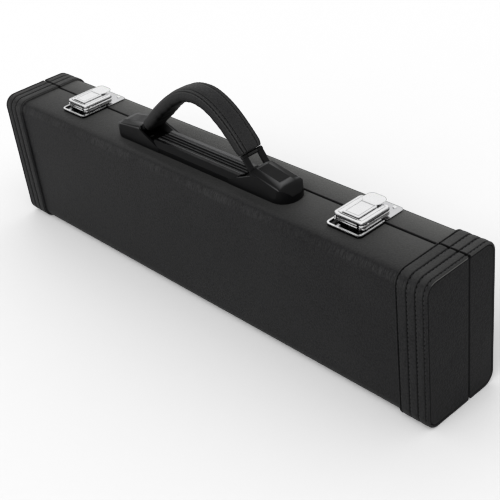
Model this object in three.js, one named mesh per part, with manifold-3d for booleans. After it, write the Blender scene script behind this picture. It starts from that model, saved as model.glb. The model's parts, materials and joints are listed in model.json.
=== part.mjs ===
// A hard case for a concert flute, closed, standing on its hinge side with the handle up.
// Millimetres. X runs along the case, Y from the deep body to the lid, and Z up.
// The origin is on the ground under the middle of the case.

import * as THREE from "three";
import { mergeVertices } from "three/addons/utils/BufferGeometryUtils.js";
import Module from "manifold-3d";

const wasm = await Module();
wasm.setup();

// Case
const caseLength = 420;
const caseHeight = 104;
const bodyDepth = 38;
const lidDepth = 24;
const partingGap = 0.6;
const edgeRadius = 9;
const smallestRadius = 1;

// Walls, from the outside in
const wrapProud = 1.4;
const coverThickness = 1;
const boardThickness = 3;
const glueGap = 0.15;
const liningGap = 0.3;
const liningSetback = 1;
const seatGap = 0.1;
const cutOverrun = 3;

// Sewn wraps and panels at the ends
const wrapWidth = 22;
const wrapHem = 2;
const wrapSeamShares = [0, 0.41, 0.72, 1];
const seamDepth = 0.5;
const wrapPuffShares = [
  [0, 1],
  [0.2, 0],
  [0.8, 0],
];
const hemRoundShare = 0.7;
const endRim = 2;
const endLip = 1.7;
const panelThickness = 1.7;
const panelGap = 0.25;
const hingeSideChamfer = 2;
const panelRadius = 4;

// Bays for the three joints of the flute and its cleaning rod
const bayDivider = 8;
const bodyBay = { length: 372, width: 35, depth: 25, hollow: 9 };
const headBay = { length: 225, width: 30, depth: 24, hollow: 8 };
const footBay = { length: 139, width: 33, depth: 24, hollow: 9 };
const rodBay = { length: 330, width: 7, depth: 14 };
const bayRadius = 7;
const rodRadius = 2;

// Hinges
const hingeShare = 0.3095;
const hingeLength = 40;
const hingeKnuckles = 5;
const barrelRadius = 1.35;
const hingePinRadius = 0.65;
const pinClearance = 0.1;
const knuckleGap = 0.3;
const barrelRelief = 0.35;
const barrelGround = 0.15;
const leafWidth = 13;
const leafThickness = 0.7;
const hingeRivetSpacing = 24;
const hingeRivetReach = 8.5;

// Rivets
const smallRivet = { head: 1.5, rise: 0.4, shank: 0.8 };
const latchRivet = { head: 1.4, rise: 0.8, shank: 0.8 };
const pocketRivet = { head: 2.6, rise: 1.1, shank: 1.2 };
const rivetClearance = 0.1;

// Latches
const latchShare = 0.32548;
const latchSheet = 0.9;
const latchGap = 0.45;
const latchSetback = 1;
const latchCorner = 3;
const rimWidth = 1.2;
const rimHeight = 2;
const baseThickness = 1;
const baseFrontGap = 3.3;
const baseLug = { width: 1.6, length: 1.2, rise: 0.8, offset: 4 };
const haspReach = 7.3;
const haspLength = 25.8;
const haspTop = 7.5;
const haspBottom = 2.7;
const haspBorder = 3.05;
const haspStep = 0.6;
const haspStepHeight = 1.8;
const haspPivotInset = 2.5;
const haspPivotHeight = 4;
const haspPinRadius = 0.8;
const earRadius = 1.5;
const leverWidth = 12.5;
const leverInset = 3.5;
const leverPivotInset = 1.6;
const leverPivotHeight = 5.4;
const leverPinRadius = 0.6;
const leverEarRadius = 1.2;
const windowRelief = 1.6;
const padLength = 16.6;
const padThickness = 1.2;
const padRise = 0.9;
const padBevel = 0.4;
const tabWidth = 14;
const tabReach = 3.7;
const tabRise = 0.9;
const tabThickness = 1.1;
const tabRadius = 4;
const hookWidth = 8;
const hookInset = 4.4;
const hookClearance = 0.3;
const keeperWidth = 26;
const keeperDepth = 16.5;
const keeperThickness = 1;
const keeperCorner = 2.5;
const strikerHeight = 2.2;
const strikerThickness = 1.8;
const keeperRivetSpacing = 14.6;
const keeperRivetInset = 2.4;
const baseRivetSpacing = 10;
const baseRivetInset = 3.5;
const springWire = 0.5;
const springRadius = 1.2;
const springPitch = 1.1;
const springTurns = 4;
const springLeg = 4;
const springLegShare = 0.15;

// Handle base, measured from its own middle, which lies handleOffset along the case
const handleOffset = 3.5;
const handleLength = 174.4;
const handleWidth = 23;
const handleCentre = -5.4;
const handleEndRadius = 11;
const skirtHeight = 2.5;
const mouthInset = 31.2;
const mouthHeight = 15;
const roofEndInset = 8.2;
const roofEndHeight = 11;
const roofDrop = 1.1;
const roofThickness = 1.5;
const roofNoseShares = [
  [0.3, 0.96],
  [0.57, 0.84],
  [0.79, 0.65],
  [0.93, 0.4],
  [1, 0.12],
];
const cheekTopHeight = 11.5;
const cheekReach = 20.5;
const cheekFootHeight = 3.2;
const housingTopWidth = 20.4;
const housingBevel = 0.9;
const pocketWidth = 18.4;
const tunnelWidth = 17.6;
const pocketFloor = 2.2;
const pocketReach = 13.2;
const pocketWall = 2.5;
const pocketRivetReach = 2;
const barWidth = 22.4;
const barShoulder = 3.8;
const barTopWidth = 16.5;
const barHeight = 7;
const railWidth = 2.4;
const channelDepth = 1.2;
const fineRib = { width: 0.8, rise: 0.5, offset: 4.6 };
const roofPanel = { width: 9.2, rise: 0.25, margin: 2 };

// Handle strap and its links
const strapWidth = 17.8;
const strapThickness = 9.2;
const strapLeft = { inset: 3.7, height: 13.9, slope: 42.6, share: 0.5532 };
const strapRight = { inset: 8.7, height: 22.7, slope: 51.6, share: 0.6054 };
const strapSteps = 26;
const coreWidth = 9;
const coreThickness = 1;
const coreGap = 0.3;
const eyeOffset = 1.9;
const eyeRadius = 1.5;
const linkPinRadius = 0.7;
const linkWidth = 16.8;
const linkProng = 3.9;
const linkThickness = 2;
const linkLength = 13.5;
const linkFoot = 4;
const linkFootRadius = 1.5;
const rightLinkTilt = 54;
const leftLinkTilt = 14;
const linkSideGap = 0.35;

// Facets
const arcSteps = 5;
const cornerSteps = 3;
const pinSides = 12;
const rivetSides = 10;
const springTurnSteps = 8;
const springSides = 5;
const mergeShare = 1e-7;

// Where the main surfaces lie
const partingY = (bodyDepth - lidDepth) / 2;
const coverTop = caseHeight - wrapProud;
const boardInset = wrapProud + coverThickness + glueGap;
const boardInner = boardInset + boardThickness;
const liningInset = boardInner + liningGap;
const rim = partingGap / 2;
const hingeOffset = caseLength * hingeShare;
const latchOffset = caseLength * latchShare;
const hingeZ = barrelGround + barrelRadius;
const mouthX = handleLength / 2 - mouthInset;
const roofEndX = handleLength / 2 - roofEndInset;
const cheekFootX = mouthX - cheekReach;
const pocketFrontX = mouthX - pocketReach;
const pocketRivetX = mouthX + pocketRivetReach;
const body = { side: -1, depth: bodyDepth, name: "body" };
const lid = { side: 1, depth: lidDepth, name: "lid" };
const ends = [
  { side: -1, name: "left" },
  { side: 1, name: "right" },
];

// Finishes
const finishes = {
  leatherette: { color: 0x1d1d1f, roughness: 0.55, metalness: 0 },
  board: { color: 0x9c7b52, roughness: 0.9, metalness: 0 },
  plush: { color: 0x24262b, roughness: 1, metalness: 0 },
  chrome: { color: 0xd9dadc, roughness: 0.12, metalness: 1 },
  steel: { color: 0x8c8e91, roughness: 0.35, metalness: 1 },
  plastic: { color: 0x151516, roughness: 0.35, metalness: 0 },
};

// Closed mesh to solid, turned so that its faces point out
function solidOf(geometry) {
  const bare = geometry.clone();
  bare.deleteAttribute("normal");
  bare.deleteAttribute("uv");
  const merged = mergeVertices(bare, caseLength * mergeShare);
  const triVerts = [];
  for (let i = 0; i < merged.index.count; i += 3) {
    const [a, b, c] = merged.index.array.slice(i, i + 3);
    if (a !== b && b !== c && c !== a) triVerts.push(a, b, c);
  }
  const mesh = {
    numProp: 3,
    vertProperties: merged.attributes.position.array,
    triVerts: new Uint32Array(triVerts),
  };
  const solid = new wasm.Manifold(new wasm.Mesh(mesh));
  if (solid.volume() > 0) return solid;
  mesh.triVerts.reverse();
  return new wasm.Manifold(new wasm.Mesh(mesh));
}

function geometryOf(solid) {
  const { vertProperties, triVerts } = solid.getMesh();
  const shared = new THREE.BufferGeometry();
  shared.setAttribute("position", new THREE.BufferAttribute(new Float32Array(vertProperties), 3));
  shared.setIndex(new THREE.BufferAttribute(triVerts, 1));
  const flat = shared.toNonIndexed();
  flat.computeVertexNormals();
  return flat;
}

function joined(solids) {
  return solids.reduce((whole, solid) => whole.add(solid));
}

function cutBy(solid, tools) {
  return tools.reduce((rest, tool) => rest.subtract(tool), solid);
}

// Outlines
function arcPoints(x, y, radius, from, to, steps = arcSteps) {
  return Array.from({ length: steps + 1 }, (_, step) => {
    const angle = THREE.MathUtils.degToRad(from + ((to - from) * step) / steps);
    return new THREE.Vector2(x + radius * Math.cos(angle), y + radius * Math.sin(angle));
  });
}

function circlePoints(x, y, radius, sides) {
  return arcPoints(x, y, radius, 0, 360, sides).slice(0, sides);
}

function roundedBox(x0, y0, x1, y1, radius, steps = arcSteps) {
  const r = Math.min(radius, (x1 - x0) / 2 - seatGap, (y1 - y0) / 2 - seatGap);
  return [
    ...arcPoints(x1 - r, y1 - r, r, 0, 90, steps),
    ...arcPoints(x0 + r, y1 - r, r, 90, 180, steps),
    ...arcPoints(x0 + r, y0 + r, r, 180, 270, steps),
    ...arcPoints(x1 - r, y0 + r, r, 270, 360, steps),
  ];
}

function points(pairs) {
  return pairs.map(([x, y]) => new THREE.Vector2(x, y));
}

// Prisms: an outline in the two other axes, drawn out along one axis
const xAxis = new THREE.Vector3(1, 0, 0);
const yAxis = new THREE.Vector3(0, 1, 0);
const zAxis = new THREE.Vector3(0, 0, 1);

function drawnOut(outline, depth, bevel = 0) {
  return new THREE.ExtrudeGeometry(new THREE.Shape(outline), {
    depth: depth - 2 * bevel,
    bevelEnabled: bevel > 0,
    bevelThickness: bevel,
    bevelSize: bevel,
    bevelOffset: -bevel,
    bevelSegments: 1,
  }).translate(0, 0, bevel);
}

function prismX(outline, from, to) {
  const turn = new THREE.Matrix4().makeBasis(yAxis, zAxis, xAxis);
  return solidOf(drawnOut(outline, to - from).applyMatrix4(turn).translate(from, 0, 0));
}

function prismY(outline, from, to) {
  const turn = new THREE.Matrix4().makeBasis(xAxis, zAxis, yAxis.clone().negate());
  return solidOf(drawnOut(outline, to - from).applyMatrix4(turn).translate(0, to, 0));
}

function prismZ(outline, from, to, bevel = 0) {
  return solidOf(drawnOut(outline, to - from, bevel).translate(0, 0, from));
}

function block(x0, x1, y0, y1, z0, z1) {
  const box = new THREE.BoxGeometry(x1 - x0, y1 - y0, z1 - z0);
  return solidOf(box.translate((x0 + x1) / 2, (y0 + y1) / 2, (z0 + z1) / 2));
}

// A skin through rings of points, closed at both ends
function loft(rings, firstOutline, lastOutline) {
  if (THREE.ShapeUtils.isClockWise(firstOutline))
    for (const ring of new Set([...rings, firstOutline, lastOutline])) ring.reverse();
  const count = rings[0].length;
  const positions = rings.flat().flatMap((point) => point.toArray());
  const index = [];
  for (let ring = 0; ring < rings.length - 1; ring++)
    for (let i = 0; i < count; i++) {
      const a = ring * count + i;
      const b = ring * count + ((i + 1) % count);
      index.push(a, b, b + count, a, b + count, a + count);
    }
  const firstCap = THREE.ShapeUtils.triangulateShape(firstOutline, []);
  const lastCap = THREE.ShapeUtils.triangulateShape(lastOutline, []);
  const start = (rings.length - 1) * count;
  for (const [a, b, c] of firstCap) index.push(c, b, a);
  for (const [a, b, c] of lastCap) index.push(start + a, start + b, start + c);
  const geometry = new THREE.BufferGeometry();
  geometry.setAttribute("position", new THREE.Float32BufferAttribute(positions, 3));
  geometry.setIndex(index);
  return solidOf(geometry);
}

// Scene
const flute_case = new THREE.Group();

function addPart(name, solid, finish, parent = flute_case) {
  const mesh = new THREE.Mesh(geometryOf(solid), new THREE.MeshStandardMaterial(finishes[finish]));
  mesh.name = name;
  parent.add(mesh);
  return mesh;
}

function addGroup(x, y, z, turnY = 0, turnX = 0) {
  const group = new THREE.Group();
  group.position.set(x, y, z);
  group.rotation.set(THREE.MathUtils.degToRad(turnX), THREE.MathUtils.degToRad(turnY), 0);
  flute_case.add(group);
  return group;
}

// Half of the case in section, at a depth below its outer surface
function across(half, reach) {
  return partingY + half.side * reach;
}

function halfOutline(half, inset, rimReach, hingeReach = rimReach) {
  const radius = Math.max(edgeRadius - inset, smallestRadius);
  const centre = across(half, half.depth - inset - radius);
  const top = caseHeight - inset;
  const outward = half.side > 0 ? 0 : 180;
  return [
    new THREE.Vector2(across(half, rimReach), top),
    ...arcPoints(centre, top - radius, radius, 90, outward),
    ...arcPoints(centre, inset + radius, radius, outward, outward - half.side * 90),
    new THREE.Vector2(across(half, hingeReach), inset),
  ];
}

function endX(inset) {
  return caseLength / 2 - endRim - (inset - wrapProud);
}

function halfPrism(half, inset, rimReach) {
  return prismX(halfOutline(half, inset, rimReach), -endX(inset), endX(inset));
}

// Places of everything that is riveted through the walls
const hasp = {};
hasp.rear = partingY + haspReach;
hasp.front = hasp.rear - haspLength;
hasp.pivotY = hasp.front + haspPivotInset;
const latchBase = {
  front: hasp.front - baseFrontGap - rimWidth,
  rear: partingY - latchSetback,
};
const keeper = { front: partingY + latchSetback };
keeper.rear = keeper.front + keeperDepth;

function pairAround(centre, spacing) {
  return [centre - spacing / 2, centre + spacing / 2];
}

function latchRivets(half) {
  const spacing = half === body ? baseRivetSpacing : keeperRivetSpacing;
  const y = half === body ? latchBase.rear - baseRivetInset : keeper.rear - keeperRivetInset;
  return ends.flatMap((end) => pairAround(end.side * latchOffset, spacing).map((x) => [x, y]));
}

function hingeRivets(half) {
  const y = across(half, hingeRivetReach);
  return ends.flatMap((end) => pairAround(end.side * hingeOffset, hingeRivetSpacing).map((x) => [x, y]));
}

function handleRivets(middle = handleOffset) {
  return ends.map((end) => [middle + end.side * pocketRivetX, handleCentre]);
}

function hole(rivet, [x, y], from, to) {
  return prismZ(circlePoints(x, y, rivet.shank + rivetClearance, rivetSides), from, to);
}

function wallHoles(half) {
  const low = -cutOverrun;
  const high = caseHeight + cutOverrun;
  const middle = caseHeight / 2;
  const holes = hingeRivets(half).map((place) => hole(smallRivet, place, low, middle));
  latchRivets(half).forEach((place) => holes.push(hole(latchRivet, place, middle, high)));
  if (half === body) handleRivets().forEach((place) => holes.push(hole(pocketRivet, place, middle, high)));
  return holes;
}

function barrelRoom() {
  const radius = barrelRadius + barrelRelief;
  const reach = hingeLength / 2 + knuckleGap;
  return ends.map((end) =>
    prismX(
      circlePoints(partingY, hingeZ, radius, pinSides),
      end.side * hingeOffset - reach,
      end.side * hingeOffset + reach,
    ),
  );
}

// Walls: a board shell in a leatherette cover that is turned in over its rim
function board(half) {
  const rimReach = rim + coverThickness + glueGap;
  const shell = halfPrism(half, boardInset, rimReach);
  const inside = halfPrism(half, boardInner, rimReach - cutOverrun);
  return cutBy(shell, [inside, ...wallHoles(half), ...barrelRoom()]);
}

function cover(half) {
  const skin = halfPrism(half, wrapProud, rim);
  const boardRoom = halfPrism(half, wrapProud + coverThickness, rim + coverThickness);
  const mouth = halfPrism(half, boardInner, rim - cutOverrun);
  return cutBy(skin, [boardRoom, mouth, ...wallHoles(half), ...barrelRoom()]);
}

// Sewn wrap: three puffed channels between seams, then a hem that turns over the end
function wrapStations() {
  const inner = caseLength / 2 - wrapWidth;
  const lip = endX(wrapProud) + glueGap;
  const lastSeam = Math.min(caseLength / 2 - wrapHem, lip - seatGap);
  const seams = wrapSeamShares.map((share) => inner + (lastSeam - inner) * share);
  const thickness = wrapProud - glueGap;
  const stations = [];
  for (let channel = 0; channel < seams.length - 1; channel++)
    for (const [along, sunk] of wrapPuffShares) {
      const x = seams[channel] + (seams[channel + 1] - seams[channel]) * along;
      stations.push([x, sunk * seamDepth, thickness]);
    }
  stations.push([lastSeam, seamDepth, thickness]);
  stations.push([lip, 0, thickness]);
  stations.push([lip, 0, endLip]);
  stations.push([lip + (caseLength / 2 - lip) * hemRoundShare, 0, endLip]);
  stations.push([caseLength / 2, seamDepth, endLip]);
  return stations;
}

// Where the chamfer that clears the other half runs, at a height above the ground
function chamferReach(height) {
  return rim + Math.max(hingeSideChamfer - height, 0);
}

function wrap(half, end) {
  const loops = wrapStations().map(([x, outset, inset]) => {
    const outer = halfOutline(half, outset, rim, chamferReach(outset));
    const inner = halfOutline(half, inset, rim, chamferReach(inset));
    return { x: end.side * x, outline: [...outer, ...inner.reverse()] };
  });
  const rings = loops.map(({ x, outline }) =>
    outline.map((point) => new THREE.Vector3(x, point.x, point.y)),
  );
  return loft(rings, loops[0].outline, loops[loops.length - 1].outline);
}

function endPanel(half, end) {
  const inset = endLip + panelGap;
  const outline = halfOutline(half, inset, rim);
  const from = endX(wrapProud) + glueGap;
  const to = from + panelThickness;
  return end.side > 0 ? prismX(outline, from, to) : prismX(outline, -to, -from);
}

// Lining: a block with rounded bays, their free height shared out as dividers
function bayRows() {
  const low = liningInset;
  const free = caseHeight - 2 * liningInset - bodyBay.width - footBay.width - rodBay.width;
  const divider = free / 4;
  const bodyZ = low + divider + bodyBay.width / 2;
  const upperZ = bodyZ + (bodyBay.width + footBay.width) / 2 + divider;
  const rodZ = upperZ + (footBay.width + rodBay.width) / 2 + divider;
  const rowStart = -(headBay.length + bayDivider + footBay.length) / 2;
  const footStart = rowStart + headBay.length + bayDivider;
  return [
    { ...bodyBay, name: "body", z: bodyZ, x: -bodyBay.length / 2, radius: bayRadius },
    { ...headBay, name: "head", z: upperZ, x: rowStart, radius: bayRadius },
    { ...footBay, name: "foot", z: upperZ, x: footStart, radius: bayRadius },
    { ...rodBay, name: "rod", z: rodZ, x: -rodBay.length / 2, radius: rodRadius },
  ];
}

function bayCut(half, bay, depth) {
  const face = rim + liningSetback;
  const y0 = across(half, face - cutOverrun);
  const y1 = across(half, face + depth);
  const outline = roundedBox(
    Math.min(y0, y1),
    bay.z - bay.width / 2,
    Math.max(y0, y1),
    bay.z + bay.width / 2,
    bay.radius,
    cornerSteps,
  );
  const square = [y0, across(half, face + depth - bay.radius)];
  const mouth = block(
    bay.x,
    bay.x + bay.length,
    Math.min(...square),
    Math.max(...square),
    bay.z - bay.width / 2,
    bay.z + bay.width / 2,
  );
  return prismX(outline, bay.x, bay.x + bay.length).add(mouth);
}

function bodyLining() {
  const filling = halfPrism(body, liningInset, rim + liningSetback);
  return cutBy(
    filling,
    bayRows().map((bay) => bayCut(body, bay, bay.depth)),
  );
}

function lidLining() {
  const filling = halfPrism(lid, liningInset, rim + liningSetback);
  const hollows = bayRows().filter((bay) => bay.hollow);
  return cutBy(
    filling,
    hollows.map((bay) => bayCut(lid, bay, bay.hollow)),
  );
}

// Hinge: leaves under the walls, knuckles round one pin on the parting plane
function knuckleSpans(first) {
  const pitch = hingeLength / hingeKnuckles;
  const spans = [];
  for (let knuckle = first; knuckle < hingeKnuckles; knuckle += 2) {
    const from = -hingeLength / 2 + knuckle * pitch;
    spans.push([from + knuckleGap / 2, from + pitch - knuckleGap / 2]);
  }
  return spans;
}

function hingeLeaf(half) {
  const top = wrapProud - seatGap;
  const near = barrelRadius + barrelRelief;
  const strip = (x0, x1, u0, u1) => {
    const sides = [across(half, u0), across(half, u1)];
    return block(x0, x1, Math.min(...sides), Math.max(...sides), top - leafThickness, top);
  };
  const plate = strip(-hingeLength / 2, hingeLength / 2, near, leafWidth);
  const knuckles = knuckleSpans(half === body ? 0 : 1).flatMap(([from, to]) => [
    prismX(circlePoints(partingY, hingeZ, barrelRadius, pinSides), from, to),
    strip(from, to, 0, near + seatGap),
  ]);
  const bore = prismX(
    circlePoints(partingY, hingeZ, hingePinRadius + pinClearance, pinSides),
    -hingeLength,
    hingeLength,
  );
  const holes = pairAround(0, hingeRivetSpacing).map((x) =>
    hole(smallRivet, [x, across(half, hingeRivetReach)], -cutOverrun, cutOverrun),
  );
  return cutBy(joined([plate, ...knuckles]), [bore, ...holes]);
}

function hingePin() {
  const circle = circlePoints(partingY, hingeZ, hingePinRadius, pinSides);
  return prismX(circle, -hingeLength / 2, hingeLength / 2);
}

// Rivet: a domed head over a shank that ends flush inside the board
function rivetSolid(rivet, grip) {
  const domeShare = 0.6;
  const crownShare = 0.75;
  const profile = points([
    [0, -grip],
    [rivet.shank, -grip],
    [rivet.shank, 0],
    [rivet.head, 0],
    [rivet.head * crownShare, rivet.rise * domeShare],
    [0, rivet.rise],
  ]);
  return solidOf(new THREE.LatheGeometry(profile, rivetSides).rotateX(Math.PI / 2));
}

const wallGrip = seatGap + boardInner - wrapProud;

function addRivets(prefix, rivet, places, height, grip) {
  places.forEach(([x, y], i) => {
    const group = addGroup(x, y, height);
    addPart(`${prefix}_${i + 1}`, rivetSolid(rivet, grip), "chrome", group);
  });
}

function addHingeRivets(half) {
  const height = wrapProud - seatGap - leafThickness - rivetClearance;
  const grip = boardInner - height;
  hingeRivets(half).forEach(([x, y], i) => {
    const group = addGroup(x, y, height, 0, 180);
    addPart(`hinge_rivet_${half.name}_${i + 1}`, rivetSolid(smallRivet, grip), "steel", group);
  });
}

// Latch, seen across its width from the lever outwards
const windowHalf = leverWidth / 2 + latchGap;
const carrierHalf = windowHalf + latchSheet;
const earHalf = carrierHalf + latchGap + latchSheet;
const haspHalf = earHalf + haspBorder;
const baseHalf = haspHalf + latchGap + rimWidth;

// Latch, seen along its length
const leverFront = hasp.front + leverInset;
const leverPivotY = leverFront + leverPivotInset;
const padRear = leverFront + padLength;
const padTop = haspTop + padRise;
const hookY = hasp.rear - hookInset;
const windowFront = leverFront - windowRelief;
const windowRear = Math.max(hookY + latchSheet / 2, padRear) + latchGap;
const tabTop = padTop + tabRise;

function latchBasePlate() {
  const outer = roundedBox(
    -baseHalf,
    latchBase.front,
    baseHalf,
    latchBase.rear + latchCorner,
    latchCorner,
    cornerSteps,
  );
  const inner = roundedBox(
    rimWidth - baseHalf,
    latchBase.front + rimWidth,
    baseHalf - rimWidth,
    latchBase.rear + 2 * latchCorner,
    latchCorner - rimWidth,
    cornerSteps,
  );
  const tray = prismZ(outer, 0, rimHeight)
    .subtract(prismZ(inner, baseThickness, rimHeight + cutOverrun))
    .subtract(
      block(
        -handleLength,
        handleLength,
        latchBase.rear,
        latchBase.rear + handleLength,
        -cutOverrun,
        cutOverrun,
      ),
    );
  const lug = block(
    -baseLug.offset - baseLug.width / 2,
    baseLug.width / 2 - baseLug.offset,
    latchBase.front + rimWidth / 2,
    latchBase.front + rimWidth + baseLug.length,
    baseThickness / 2,
    rimHeight + baseLug.rise,
  );
  const pin = prismX(
    circlePoints(hasp.pivotY, haspPivotHeight, haspPinRadius + pinClearance, pinSides),
    -baseHalf,
    baseHalf,
  );
  const ears = [-1, 1].map((side) => earSolid(side));
  const holes = pairAround(0, baseRivetSpacing).map((x) =>
    hole(latchRivet, [x, latchBase.rear - baseRivetInset], -cutOverrun, cutOverrun),
  );
  return cutBy(joined([tray, lug, ...ears]), [pin, ...holes]);
}

function earSolid(side) {
  const outline = [
    ...arcPoints(hasp.pivotY, haspPivotHeight, earRadius, 0, 180),
    new THREE.Vector2(hasp.pivotY - earRadius, baseThickness / 2),
    new THREE.Vector2(hasp.pivotY + earRadius, baseThickness / 2),
  ];
  const reach = [side * (earHalf - latchSheet), side * earHalf];
  return prismX(outline, Math.min(...reach), Math.max(...reach));
}

// The hasp: a folded frame with a wider foot, a window for the lever and lugs for its pin
function haspSolid() {
  const level = (grow) =>
    roundedBox(
      -haspHalf + haspStep - grow,
      hasp.front + haspStep - grow,
      haspHalf - haspStep + grow,
      hasp.rear - haspStep + grow,
      latchCorner,
      cornerSteps,
    );
  const crown = prismZ(level(0), haspTop - haspStepHeight, haspTop, padBevel);
  const foot = prismZ(level(haspStep), haspBottom, haspTop - haspStepHeight + latchSheet / 2);
  const hollow = prismZ(
    roundedBox(
      latchSheet - haspHalf,
      hasp.front + latchSheet,
      haspHalf - latchSheet,
      hasp.rear - latchSheet,
      latchCorner - latchSheet,
      cornerSteps,
    ),
    -cutOverrun,
    haspTop - haspStepHeight - latchSheet / 2,
  );
  const upperHollow = prismZ(
    roundedBox(
      haspStep + latchSheet - haspHalf,
      hasp.front + haspStep + latchSheet,
      haspHalf - haspStep - latchSheet,
      hasp.rear - haspStep - latchSheet,
      latchCorner - latchSheet,
      cornerSteps,
    ),
    -cutOverrun,
    haspTop - latchSheet,
  );
  const window = prismZ(
    roundedBox(-windowHalf, windowFront, windowHalf, windowRear, smallestRadius, cornerSteps),
    -cutOverrun,
    haspTop + cutOverrun,
  );
  const slots = [-1, 1].map((side) => {
    const reach = [side * (carrierHalf + latchGap / 3), side * (earHalf + latchGap)];
    return block(
      Math.min(...reach),
      Math.max(...reach),
      hasp.front - cutOverrun,
      hasp.pivotY,
      -cutOverrun,
      haspTop - latchSheet,
    );
  });
  const shell = cutBy(crown.add(foot), [hollow, upperHollow, window, ...slots]);
  const carriers = [-1, 1].map((side) => {
    const reach = [side * windowHalf, side * carrierHalf];
    return block(
      Math.min(...reach),
      Math.max(...reach),
      leverPivotY - leverEarRadius - latchGap,
      leverPivotY + leverEarRadius + latchGap,
      leverPivotHeight - leverEarRadius,
      haspTop - latchSheet / 2,
    );
  });
  const haspBore = prismX(
    circlePoints(hasp.pivotY, haspPivotHeight, haspPinRadius + pinClearance, pinSides),
    -baseHalf,
    baseHalf,
  );
  const leverBore = prismX(
    circlePoints(leverPivotY, leverPivotHeight, leverPinRadius + pinClearance, pinSides),
    -baseHalf,
    baseHalf,
  );
  return cutBy(joined([shell, ...carriers]), [haspBore, leverBore]);
}

// The lever: an embossed pad, a raised finger tab, two ears on its pin and a hook
function leverSolid() {
  const half = leverWidth / 2;
  const pad = prismZ(
    roundedBox(-half, leverFront, half, padRear, smallestRadius, cornerSteps),
    padTop - padThickness,
    padTop,
    padBevel,
  );
  const tab = prismZ(
    roundedBox(
      -tabWidth / 2,
      padRear - padBevel - latchSheet,
      tabWidth / 2,
      hasp.rear + tabReach,
      tabRadius,
    ),
    tabTop - tabThickness,
    tabTop,
    padBevel,
  );
  const neck = block(
    -half + padBevel,
    half - padBevel,
    padRear - latchSheet - padBevel,
    padRear - padBevel,
    padTop - padBevel,
    tabTop - padBevel,
  );
  const hook = block(
    -hookWidth / 2,
    hookWidth / 2,
    hookY - latchSheet / 2,
    hookY + latchSheet / 2,
    strikerHeight + hookClearance,
    tabTop - tabThickness / 2,
  );
  const ears = [-1, 1].map((side) => {
    const outline = [
      ...arcPoints(leverPivotY, leverPivotHeight, leverEarRadius, 180, 360),
      new THREE.Vector2(leverPivotY + leverEarRadius, padTop - padThickness / 2),
      new THREE.Vector2(leverPivotY - leverEarRadius, padTop - padThickness / 2),
    ];
    const reach = [side * (half - latchSheet), side * half];
    return prismX(outline, Math.min(...reach), Math.max(...reach));
  });
  const bore = prismX(
    circlePoints(leverPivotY, leverPivotHeight, leverPinRadius + pinClearance, pinSides),
    -baseHalf,
    baseHalf,
  );
  return joined([pad, neck, tab, hook, ...ears]).subtract(bore);
}

function keeperSolid() {
  const plate = prismZ(
    roundedBox(-keeperWidth / 2, keeper.front, keeperWidth / 2, keeper.rear, keeperCorner, cornerSteps),
    0,
    keeperThickness,
  );
  const striker = block(
    -hookWidth / 2,
    hookWidth / 2,
    hookY - strikerThickness / 2,
    hookY + strikerThickness / 2,
    keeperThickness / 2,
    strikerHeight,
  );
  const holes = pairAround(0, keeperRivetSpacing).map((x) =>
    hole(latchRivet, [x, keeper.rear - keeperRivetInset], -cutOverrun, cutOverrun),
  );
  return cutBy(plate.add(striker), holes);
}

function pinSolid(y, z, radius, half) {
  return prismX(circlePoints(y, z, radius, pinSides), -half, half);
}

// The spring: turns of wire round the lever pin, with a leg under the lever
class SpringWire extends THREE.Curve {
  getPoint(t, target = new THREE.Vector3()) {
    const coiled = 1 - springLegShare;
    const wound = Math.min(t / coiled, 1);
    const angle = wound * springTurns * 2 * Math.PI;
    const x = (wound - 1 / 2) * springTurns * springPitch;
    const away = Math.max(t - coiled, 0) / springLegShare;
    const y = leverPivotY + springRadius * Math.sin(angle) + away * springLeg;
    return target.set(x, y, leverPivotHeight + springRadius * Math.cos(angle));
  }
}

function springSolid() {
  const steps = Math.round((springTurns * springTurnSteps) / (1 - springLegShare));
  const section = new THREE.Shape(circlePoints(0, 0, springWire / 2, springSides));
  return solidOf(
    new THREE.ExtrudeGeometry(section, { steps, extrudePath: new SpringWire(), bevelEnabled: false }),
  );
}

function addLatch(end) {
  const seat = addGroup(end.side * latchOffset, 0, coverTop + seatGap);
  const haspPin = pinSolid(hasp.pivotY, haspPivotHeight, haspPinRadius, haspHalf);
  const leverPin = pinSolid(leverPivotY, leverPivotHeight, leverPinRadius, carrierHalf);
  addPart(`latch_base_${end.name}`, latchBasePlate(), "chrome", seat);
  addPart(`latch_hasp_${end.name}`, haspSolid(), "chrome", seat);
  addPart(`latch_hasp_pin_${end.name}`, haspPin, "steel", seat);
  addPart(`latch_lever_${end.name}`, leverSolid(), "chrome", seat);
  addPart(`latch_lever_pin_${end.name}`, leverPin, "steel", seat);
  addPart(`latch_spring_${end.name}`, springSolid(), "steel", seat);
  addPart(`latch_keeper_${end.name}`, keeperSolid(), "chrome", seat);
}

// Handle base: two hollow housings that open towards each other, and a ribbed channel between
function mirrored(half) {
  const other = half.map(([x, z]) => [-x, z]).reverse();
  return points([...half, ...other]);
}

function roofHeight(x) {
  return mouthHeight + ((roofEndHeight - mouthHeight) * (x - mouthX)) / (roofEndX - mouthX);
}

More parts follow.
